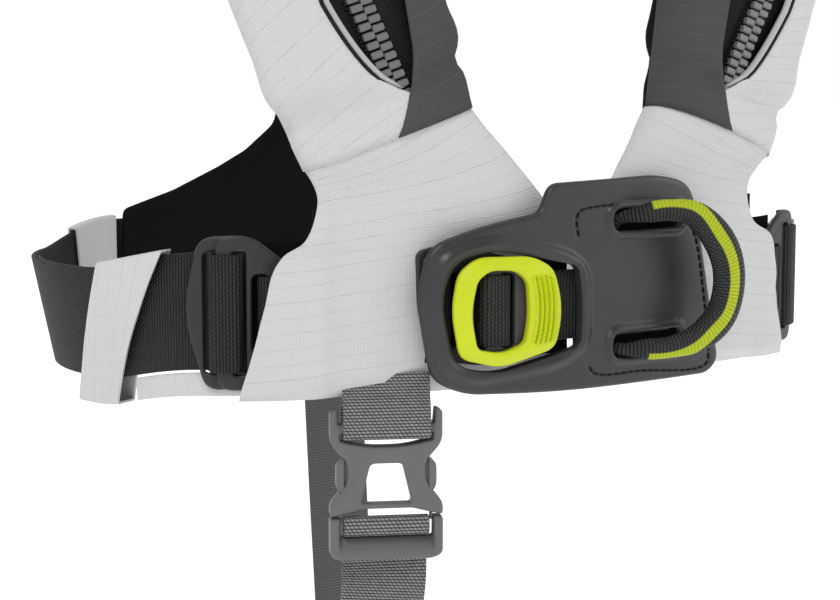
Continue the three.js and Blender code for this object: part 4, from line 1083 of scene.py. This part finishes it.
RISE, DROP, OVER = 127, 117, 8.6
ADJUSTER_S, ADJUSTER_SPREAD = 119, 1.045
ADJUSTER_OUTER, ADJUSTER_INNER = (2.7, 4.7), (5.5, 7.5)
FLAP_LAYER, FLAP_ENDS, FLAP_WIDE = -2.6, (-86, -124), 47

# Webbing from the boot through the adjuster's slot: arc length and distance out.
TIE = [
    (-99, 8.6), (-105, 8.6), (-109.4, 8.2), (-111.2, 6), (-110.6, 3), (-107, 1.4), (-100, 1.1), (-60, 1.1),
    (-20, 1.1),
]


def belt_points():
    side = [
        (-236, BELT_TAIL), (-200, BELT_TAIL), (-160, BELT_TAIL), (-124, BELT_TAIL),
        (-119, -0.7), (-DROP, 1.4),
        (-DROP, 5.2), (-DROP - 1.6, OVER - 0.3), (-RISE + 4.4, OVER), (-RISE + 1.2, OVER - 0.7),
        (-RISE, 5.4),
        (-RISE - 0.1, 3.2), (-RISE - 1.6, 1.5), (-RISE - 6, BELT_LAYER), (-150, BELT_LAYER),
    ]
    half = side + [(s, BELT_LAYER) for s in (-180, -210, -240, -280, -320, -360, -400)]
    return half + [(-HALF_WAIST, BELT_LAYER)] + [(-2 * HALF_WAIST - s, r) for s, r in reversed(half)]


def leaned(points):
    """The belt follows the body at the sides: it leans in towards its lower edge and sits lower."""
    points = np.array(points, float)
    flat = points.reshape(-1, 3)
    reach = np.stack([np.maximum(0, np.abs(flat[:, 0]) - SIDE_X), flat[:, 1]], axis=1)
    angle = np.arctan2(reach[:, 0], -reach[:, 1])
    share = smooth(angle, 0.62, 1.25) * (1 - smooth(angle, 2.2, 2.9))
    inward = share * (5 + 0.2 * (BELT_WIDE / 2 - flat[:, 2]))
    reach = unit(reach)
    flat[:, 0] -= np.sign(flat[:, 0]) * inward * reach[:, 0]
    flat[:, 1] -= inward * reach[:, 1]
    flat[:, 2] -= share * 7.5
    return flat.reshape(points.shape)


def up_vectors(places):
    return np.tile([0, 0, 1.0], (len(places), 1))


def belt():
    places = webbing_places(belt_points(), 1.2)
    shape = skin(leaned(strip_rings(places, up_vectors(places), BELT_WIDE, WEB_THICK)))
    make_piece("belt_webbing_strip", shape, BELT_WEB, "jacket", ["belt_webbing"])


def around_side(side):
    """Place function for flat outlines bent round the belt's side, x along the adjuster's tangent."""
    origin, along, up, out = beside_waist(-ADJUSTER_S)
    centre = origin - out * SIDE_RADIUS

    def place(points, heights):
        depth = np.sqrt((SIDE_RADIUS + heights) ** 2 - points[:, 0] ** 2)
        made = centre + points[:, :1] * along + points[:, 1:2] * up + depth[:, None] * out
        return made * (MIRROR if side > 0 else 1)

    return place


def mirrored(shape, side):
    """The shape with its faces turned round where it is mirrored to the wearer's left."""
    verts, faces, uvs = shape
    if side < 0:
        return shape
    turned, k = [], 0
    for face in faces:
        turned += list(uvs[k : k + len(face)])[::-1]
        k += len(face)
    return verts, [face[::-1] for face in faces], turned


def adjusters():
    at = lambda x: (x + ADJUSTER_S) * ADJUSTER_SPREAD
    outer_edge = corners_to_outline(
        [
            (at(-136.6), 0, 30), (at(-131), 25.6, 8), (at(-118.8), 26, 1), (at(-118.8), -26, 1),
            (at(-129), -26.6, 10),
        ],
        14,
    )
    outer_window = box_outline(at(-129.4), at(-122), -20.6, 20.6, 2)
    inner_edge = corners_to_outline(
        [
            (at(-125.2), 26, 8), (at(-114), 26.4, 5), (at(-100), 15, 3), (at(-100), -15, 3),
            (at(-114), -26.4, 5),
            (at(-125.2), -26, 8),
        ]
    )
    inner_holes = [
        box_outline(at(-119.8), at(-115.6), -20.8, 20.8, 1),
        box_outline(at(-113.6), at(-108.4), -13.2, 13.2, 2.4),
    ]
    engraved = np.array([(at(-119), 21.9), (at(-114.2), 21.9), (at(-101), 11.4)])
    for name, side in (("right", -1), ("left", 1)):
        place = around_side(side)
        plates = {
            "adjuster_outer": (outer_edge, [outer_window], ADJUSTER_OUTER, f"adjuster_plate_{name}"),
            "adjuster_inner": (inner_edge, inner_holes, ADJUSTER_INNER, "jacket"),
        }
        for node, (edge, holes, (low, high), body) in plates.items():

            def top(points, distance, high=high, node=node):
                height = high - rounded_edge(distance, 0.9)
                if node == "adjuster_inner":
                    height = height - 0.45 * np.exp(-((open_distance(points, engraved) / 0.4) ** 2))
                return height

            bottom = lambda points, distance, low=low: low + rounded_edge(distance, 0.5)
            shape = mirrored(relief(edge, holes, top, bottom, place, 0.9), side)
            solid = f"{node}_{name}"
            make_piece(solid + "_plate", shape, DARK, body, [solid], 40)
        places = webbing_places([(s * -side, r) for s, r in TIE])
        shape = skin(strip_rings(places, up_vectors(places), NARROW_WIDE, WEB_THICK))
        node = f"adjuster_webbing_{name}"
        make_piece(node + "_strip", shape, BELT_WEB, "jacket", [node])
        places = webbing_places([(s * -side, FLAP_LAYER) for s in FLAP_ENDS])
        shape = skin(strip_rings(places, up_vectors(places), FLAP_WIDE, 0.7))
        make_piece(f"adjuster_flap_{name}", shape, BLACK, "jacket")


def sleeve_rings(side, stations, heights, layers, slope, seed):
    """Cloth band round the belt, open by a slit on its body side, with soft creases."""
    (z0, z1), (r0, r1) = heights, layers
    thick = 0.9
    corners = [
        (-0.4, r0, 0), (z0, r0, 1.2), (z0, r1, 1.2), (z1, r1, 1.2), (z1, r0, 1.2), (0.4, r0, 0),
        (0.4, r0 + thick, 0),
        (z1 - thick, r0 + thick, 0.5), (z1 - thick, r1 - thick, 0.5), (z0 + thick, r1 - thick, 0.5),
        (z0 + thick, r0 + thick, 0.5), (-0.4, r0 + thick, 0),
    ]
    section = resampled(corners_to_outline(corners, 4), 1.6)
    rings = []
    for s in stations:
        ring = []
        for z, r in section:
            at, out = waist(-side * (s + slope * z))
            place = at + np.array([0, 0, z]) + out * r
            face = 1 if r > (r0 + r1) / 2 else 0
            ring.append(place + out * face * 0.22 * noise.noise(Vector(place / 9) + Vector((seed, 0, 0))))
        rings.append(ring)
    return np.array(rings)


def keepers():
    for name, side in (("right", -1), ("left", 1)):
        band = sleeve_rings(side, np.linspace(-154, -181, 40), (-29.4, 21.8), (-4.3, 5.2), 0.5, 3)
        tab = sleeve_rings(side, np.linspace(-296, -321.2, 30), (-21.8, 21.8), (-1.4, 3.5), 0, 8)
        for node, rings in ((f"keeper_band_{name}", band), (f"keeper_tab_{name}", tab)):
            shape = skin(leaned(rings))
            make_piece(node + "_cloth", shape, WHITE_BOOT, "jacket", [node], 50)
        verts, faces = [], []
        for s in (-297.2, -320):
            row = [on_waist(-side * s, 3.65, -20 + 40 * k) for k in np.linspace(0, 1, 12)]
            more, quads = stitches(leaned(row), 2.6, 2.0, 0.2)
            faces += [tuple(i + len(verts) for i in quad) for quad in quads]
            verts += more
        make_piece(f"keeper_stitching_{name}", (verts, faces), PALE_THREAD, "jacket")
        places = webbing_places([(side * s, 1, -25) for s in (159, 140, 112)])
        shape = skin(leaned(strip_rings(places, up_vectors(places), 8, 1.2)))
        node = f"side_strip_{name}"
        make_piece(node + "_cloth", shape, WHITE_BOOT, "jacket", [node])


PAD_EDGE = [(97, 24), (72, 31), (50, 40), (36, 47), (22, 58), (19, 68)]
BACK_STRAP = [(0, 97, 24), (0, 97, 60), (0, 100, 120), (0, 107, 190), (0, 114, 245), (0, 119, 279)]


def back_pad():
    """Padded wing behind the belt: crowned, with a sewn border."""
    upper = [(x, z, 3) for x, z in PAD_EDGE]
    edge = corners_to_outline([*both_sides([(80, -28, 8), (98, -22, 8), *upper])])
    centre_y = -FRONT_CENTRE_Y

    def place(points, heights):
        y = centre_y + np.sqrt((FRONT_RADIUS + heights) ** 2 - points[:, 0] ** 2)
        return np.stack([-points[:, 0], y, points[:, 1]], axis=1)

    def towards_wearer(points, distance):
        quilt = 0.45 * wrinkle(np.column_stack([points, points[:, 0] * 0]), 26, 60)
        return -4.4 - (1.9 + quilt) * smooth(distance, 1.5, 9) + rounded_edge(distance, 1.6)

    outside = lambda points, distance: -0.6 - rounded_edge(distance, 1.4)
    shape = relief(edge, [], outside, towards_wearer, place, 2.2)
    obj = make_piece("back_pad_cloth", shape, BLACK, "jacket", ["back_pad"])
    places = Route(BACK_STRAP).sample(160)
    across = np.tile([1.0, 0, 0], (len(places), 1))
    shape = skin(strip_rings(places, across, 36, 2.6))
    make_piece("back_strap_webbing", shape, PLAIN_WEB, "jacket", ["back_strap"])


# ------------------------------------------------------------------ crotch strap

BUCKLE_AT, BUCKLE_TURN, BUCKLE_THICK = np.array([-73, -101, -33]), math.radians(-22), 7
BUCKLE_ACROSS = np.array([math.cos(BUCKLE_TURN), math.sin(BUCKLE_TURN), 0])
BUCKLE_OUT = np.array([math.sin(BUCKLE_TURN), -math.cos(BUCKLE_TURN), 0])
BUCKLE_PLACE = in_frame(BUCKLE_AT, BUCKLE_ACROSS, np.array([0, 0, 1.0]), BUCKLE_OUT)


def buckle_point(y, z):
    return BUCKLE_AT + np.array([0, 0, y]) + BUCKLE_OUT * z


def crotch_buckle():
    half = BUCKLE_THICK / 2
    female = corners_to_outline(
        both_sides(
            [
                (16.4, -5.4, 0.5), (16.8, 0, 1), (19.3, -1, 2), (19.3, -12, 3), (13.4, -18.5, 3),
                (13.6, -26, 3),
                (19.5, -33, 2), (19.5, -37.4, 1.5), (9, -34.8, 1),
            ]
        )
    )
    loop_slot = corners_to_outline(both_sides([(16, -8.4, 0.5), (16, -10.9, 0.5), (6, -13.2, 4)]))
    window = corners_to_outline(both_sides([(5.6, -19, 2), (9, -33.2, 1.5)]))

    def female_top(points, distance):
        shoulder = 0.7 * (1 - smooth(edge_distance(points, [window]), 1.2, 3.2))
        waist_side = 0.5 * (1 - smooth(edge_distance(points, [female]), 0.9, 2.4))
        return half - rounded_edge(distance, 0.9) - 0.5 * shoulder - waist_side

    flat_back = lambda points, distance: -half + rounded_edge(distance, 0.9)
    shape = relief(female, [loop_slot, window], female_top, flat_back, BUCKLE_PLACE, 0.8)
    make_piece("buckle_female_moulding", shape, MID, "jacket", ["buckle_female"], 40)

    def male_top(points, distance):
        between = smooth(16.6 - np.abs(points[:, 0]), 0, 0.8)
        hollow = 3.6 * (1 - smooth(-points[:, 1], 45.4, 51.2)) * smooth(-points[:, 1], 44, 45.3)
        return half - rounded_edge(distance, 1.1) - between * hollow

    frame_edge = corners_to_outline(
        [
            (-19.5, -38, 1), (-16.2, -38, 0.3), (-16.2, -45.2, 1), (16.2, -45.2, 1), (16.2, -38, 0.3),
            (19.5, -38, 1), (19.5, -51, 3), (16, -52.6, 3), (-16, -52.6, 3), (-19.5, -51, 3),
        ]
    )
    shape = relief(frame_edge, [], male_top, flat_back, BUCKLE_PLACE, 0.7)
    make_piece("buckle_male_moulding", shape, MID, "crotch_buckle_male", ["buckle_male"], 40)
    arm = [
        (15.1, -39.2), (15.1, -36.6), (13.4, -33, 2), (12.2, -17.6, 1), (14.6, -17, 1), (17.2, -19.5, 1),
        (17.3, -25, 1),
        (17.1, -27, 0.5), (16.1, -29.4, 0.5), (16.05, -39.2),
    ]
    for name, side in (("left", 1), ("right", -1)):
        edge = corners_to_outline([(c[0] * side, *c[1:]) for c in arm])
        button = lambda p: 1.3 * smooth(np.abs(p[:, 0]), 14.3, 14.7) * smooth(p[:, 1], -29, -28)
        top = lambda points, distance: 1.6 + button(points) - rounded_edge(distance, 0.6)
        bottom = lambda points, distance: -1.6 - button(points) + rounded_edge(distance, 0.6)
        shape = relief(edge, [], top, bottom, BUCKLE_PLACE, 0.6, (0.15, 0.35))
        node = f"prong_{name}"
        make_piece(node + "_moulding", shape, MID, f"buckle_prong_{name}", [node], 40)


CROTCH_LOOP = [
    (12, -1.1), (5, -2), (0, -4), (-5, -4.8), (-9, -4.5), (-10, -2.6), (-10, 2.6), (-9, 4.5), (-5, 4.8),
    (0, 4),
    (5, 2), (12, 1.1),
]
STRAP_WRAP = [
    (-62, -7), (-50, -7), (-44, -6.7), (-41.6, -4.6), (-40, -2.5), (-38.6, -1), (-38.2, 0.6), (-38.7, 2.5),
    (-41, 3.2),
    (-43.2, 2.4), (-43.8, 0.6), (-43.8, -2), (-44.6, -4.4), (-47, -5), (-52, -5), (-60, -5),
]
STRAP_FRONT = [(-72, -95, -112), (-73, -96, -150), (-72, -94, -195), (-66, -82, -250), (-50, -46, -305)]
STRAP_BOTTOM = (-22, 6, -325)
STRAP_REAR = [(4, 56, -298), (12, 86, -235), (14, 97, -160), (12, 99, -100), (9, 98.4, -30), (9, 98, 16)]


def crotch_strap():
    places = Route([buckle_point(*p) for p in CROTCH_LOOP]).sample(150)
    across = np.tile(BUCKLE_ACROSS, (len(places), 1))
    shape = skin(strip_rings(places, across, CROTCH_WIDE, 1.4))
    make_piece("crotch_loop_strip", shape, GREY_WEB, "jacket", ["crotch_loop"])
    hanging = (*STRAP_FRONT, STRAP_BOTTOM, *STRAP_REAR)
    points = [buckle_point(*p) for p in STRAP_WRAP] + [np.array(p, float) for p in hanging]
    route = Route(points)
    last = len(points) - 1
    wrapped, bottom = (len(STRAP_WRAP) - 1) / last, (len(STRAP_WRAP) + len(STRAP_FRONT)) / last
    parts = (
        ("crotch_strap_front", 0, bottom - 1.5e-4, 480, GREY_WEB),
        ("crotch_strap_rear", bottom + 1.5e-4, 1, 320, PLAIN_WEB),
    )
    for node, start, end, count, material in parts:
        ks = start + (end - start) * np.arange(count + 1) / count
        places = np.array([route.at(k) for k in ks])
        turned = np.clip((ks - wrapped) / (bottom - wrapped), 0, 1)[:, None]
        across = unit(BUCKLE_ACROSS * (1 - turned) + np.array([1.0, 0, 0]) * turned)
        shape = skin(strip_rings(places, across, CROTCH_WIDE - 0.6, 1.4))
        front = node.endswith("front")
        body = None if front else "jacket"
        obj = make_piece(node + "_strip", shape, material, body, [node])
        if front:
            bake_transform(obj)


# ------------------------------------------------------------------ CAD nodes that stay

KEPT = {
    "gas_cylinder": STEEL,
    "inflator_body": DARK,
    "inflator_lever": LIME,
    "oral_tube": DARK,
    "oral_tube_cap": RED,
    "whistle": ORANGE,
    "position_light": CLEAR,
    "zip_slider": DARK,
}


def kept_nodes():
    for node, material in KEPT.items():
        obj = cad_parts[node]
        obj.data.materials.clear()
        obj.data.materials.append(material)
        bevel = obj.modifiers.new("soft_edges", "BEVEL")
        bevel.width = 0.3 * MM
        bevel.segments = 2
        bevel.limit_method = "ANGLE"


# ------------------------------------------------------------------ studio

SOFT_LIGHT = 0.3
BACKDROP_SIDE = (0.5, 0.86, 0)
FLOOR_Z, FLOOR_HALF = -1.0, 40
LIT_POINT = Vector((-0.02, -0.06, 0))


def area_light(name, at, size, power):
    data = bpy.data.lights.new(name, "AREA")
    data.shape = "RECTANGLE"
    data.size, data.size_y = size
    data.energy = power
    obj = bpy.data.objects.new(name, data)
    obj.location = at
    obj.rotation_euler = (LIT_POINT - Vector(at)).to_track_quat("-Z", "Y").to_euler()
    bpy.context.scene.collection.objects.link(obj)


def backdrop():
    """White behind the jacket and along the horizon, dimmer towards the front."""
    world = bpy.data.worlds.new("studio")
    world.use_nodes = True
    nodes, links = world.node_tree.nodes, world.node_tree.links

    def ramp(value, low, high, at_low, at_high):
        made = nodes.new("ShaderNodeMapRange")
        for socket, number in zip(made.inputs[1:5], (low, high, at_low, at_high)):
            socket.default_value = number
        links.new(value, made.inputs[0])
        return made.outputs[0]

    direction = nodes.new("ShaderNodeTexCoord").outputs["Generated"]
    behind = nodes.new("ShaderNodeVectorMath")
    behind.operation = "DOT_PRODUCT"
    behind.inputs[1].default_value = BACKDROP_SIDE
    height = nodes.new("ShaderNodeSeparateXYZ")
    brighter = nodes.new("ShaderNodeMath")
    brighter.operation = "MAXIMUM"
    links.new(direction, behind.inputs[0])
    links.new(direction, height.inputs[0])
    links.new(ramp(behind.outputs["Value"], -0.35, 0.15, SOFT_LIGHT, 1.0), brighter.inputs[0])
    links.new(ramp(height.outputs["Z"], 0.25, 0.45, 1.0, SOFT_LIGHT), brighter.inputs[1])
    nodes["Background"].inputs[0].default_value = (1, 1, 1, 1)
    links.new(brighter.outputs[0], nodes["Background"].inputs[1])
    return world


def floor():
    mesh = bpy.data.meshes.new("floor")
    size = FLOOR_HALF
    corners = [(-size, -size), (size, -size), (size, size), (-size, size)]
    mesh.from_pydata([(x, y, FLOOR_Z) for x, y in corners], [], [(0, 1, 2, 3)])
    obj = bpy.data.objects.new("floor", mesh)
    pale = Shade("pale_floor", (0.9, 0.9, 0.9), 0.9, Emission_Strength=0.5)
    pale.surface.inputs["Emission Color"].default_value = (1, 1, 1, 1)
    mesh.materials.append(pale.material)
    bpy.context.scene.collection.objects.link(obj)


def studio():
    scene = bpy.context.scene
    scene.view_settings.view_transform = "Standard"
    scene.world = backdrop()
    area_light("key", (-1.0, -0.9, 1.5), (0.8, 0.8), 19)
    area_light("fill", (1.5, -1.1, 0.6), (0.6, 1.4), 7)
    floor()


CAMERA_AZIMUTH, CAMERA_ELEVATION = math.radians(-30), math.radians(7)
CAMERA_DISTANCE, CAMERA_LENS, SENSOR_WIDE = 0.76, 80.3, 36


def camera():
    data = bpy.data.cameras.new("camera")
    data.lens = CAMERA_LENS
    data.sensor_width = SENSOR_WIDE
    obj = bpy.data.objects.new("camera", data)
    right = Vector((math.cos(CAMERA_AZIMUTH), math.sin(CAMERA_AZIMUTH), 0))
    target = right * -0.001 + Vector((0, 0, -0.0113))
    flat = math.cos(CAMERA_ELEVATION)
    side, ahead = math.sin(CAMERA_AZIMUTH) * flat, math.cos(CAMERA_AZIMUTH) * flat
    back = Vector((side, -ahead, math.sin(CAMERA_ELEVATION)))
    obj.location = target + back * CAMERA_DISTANCE
    obj.rotation_euler = back.to_track_quat("Z", "Y").to_euler()
    bpy.context.scene.collection.objects.link(obj)
    bpy.context.scene.camera = obj


studio()
camera()
lobes()
piping()
zip_tapes()
zip_teeth()
bladder()
boots()
front_plate()
receiver()
toggle()
toggle_webbing()
soft_loop()
belt()
adjusters()
keepers()
back_pad()
crotch_buckle()
crotch_strap()
kept_nodes()
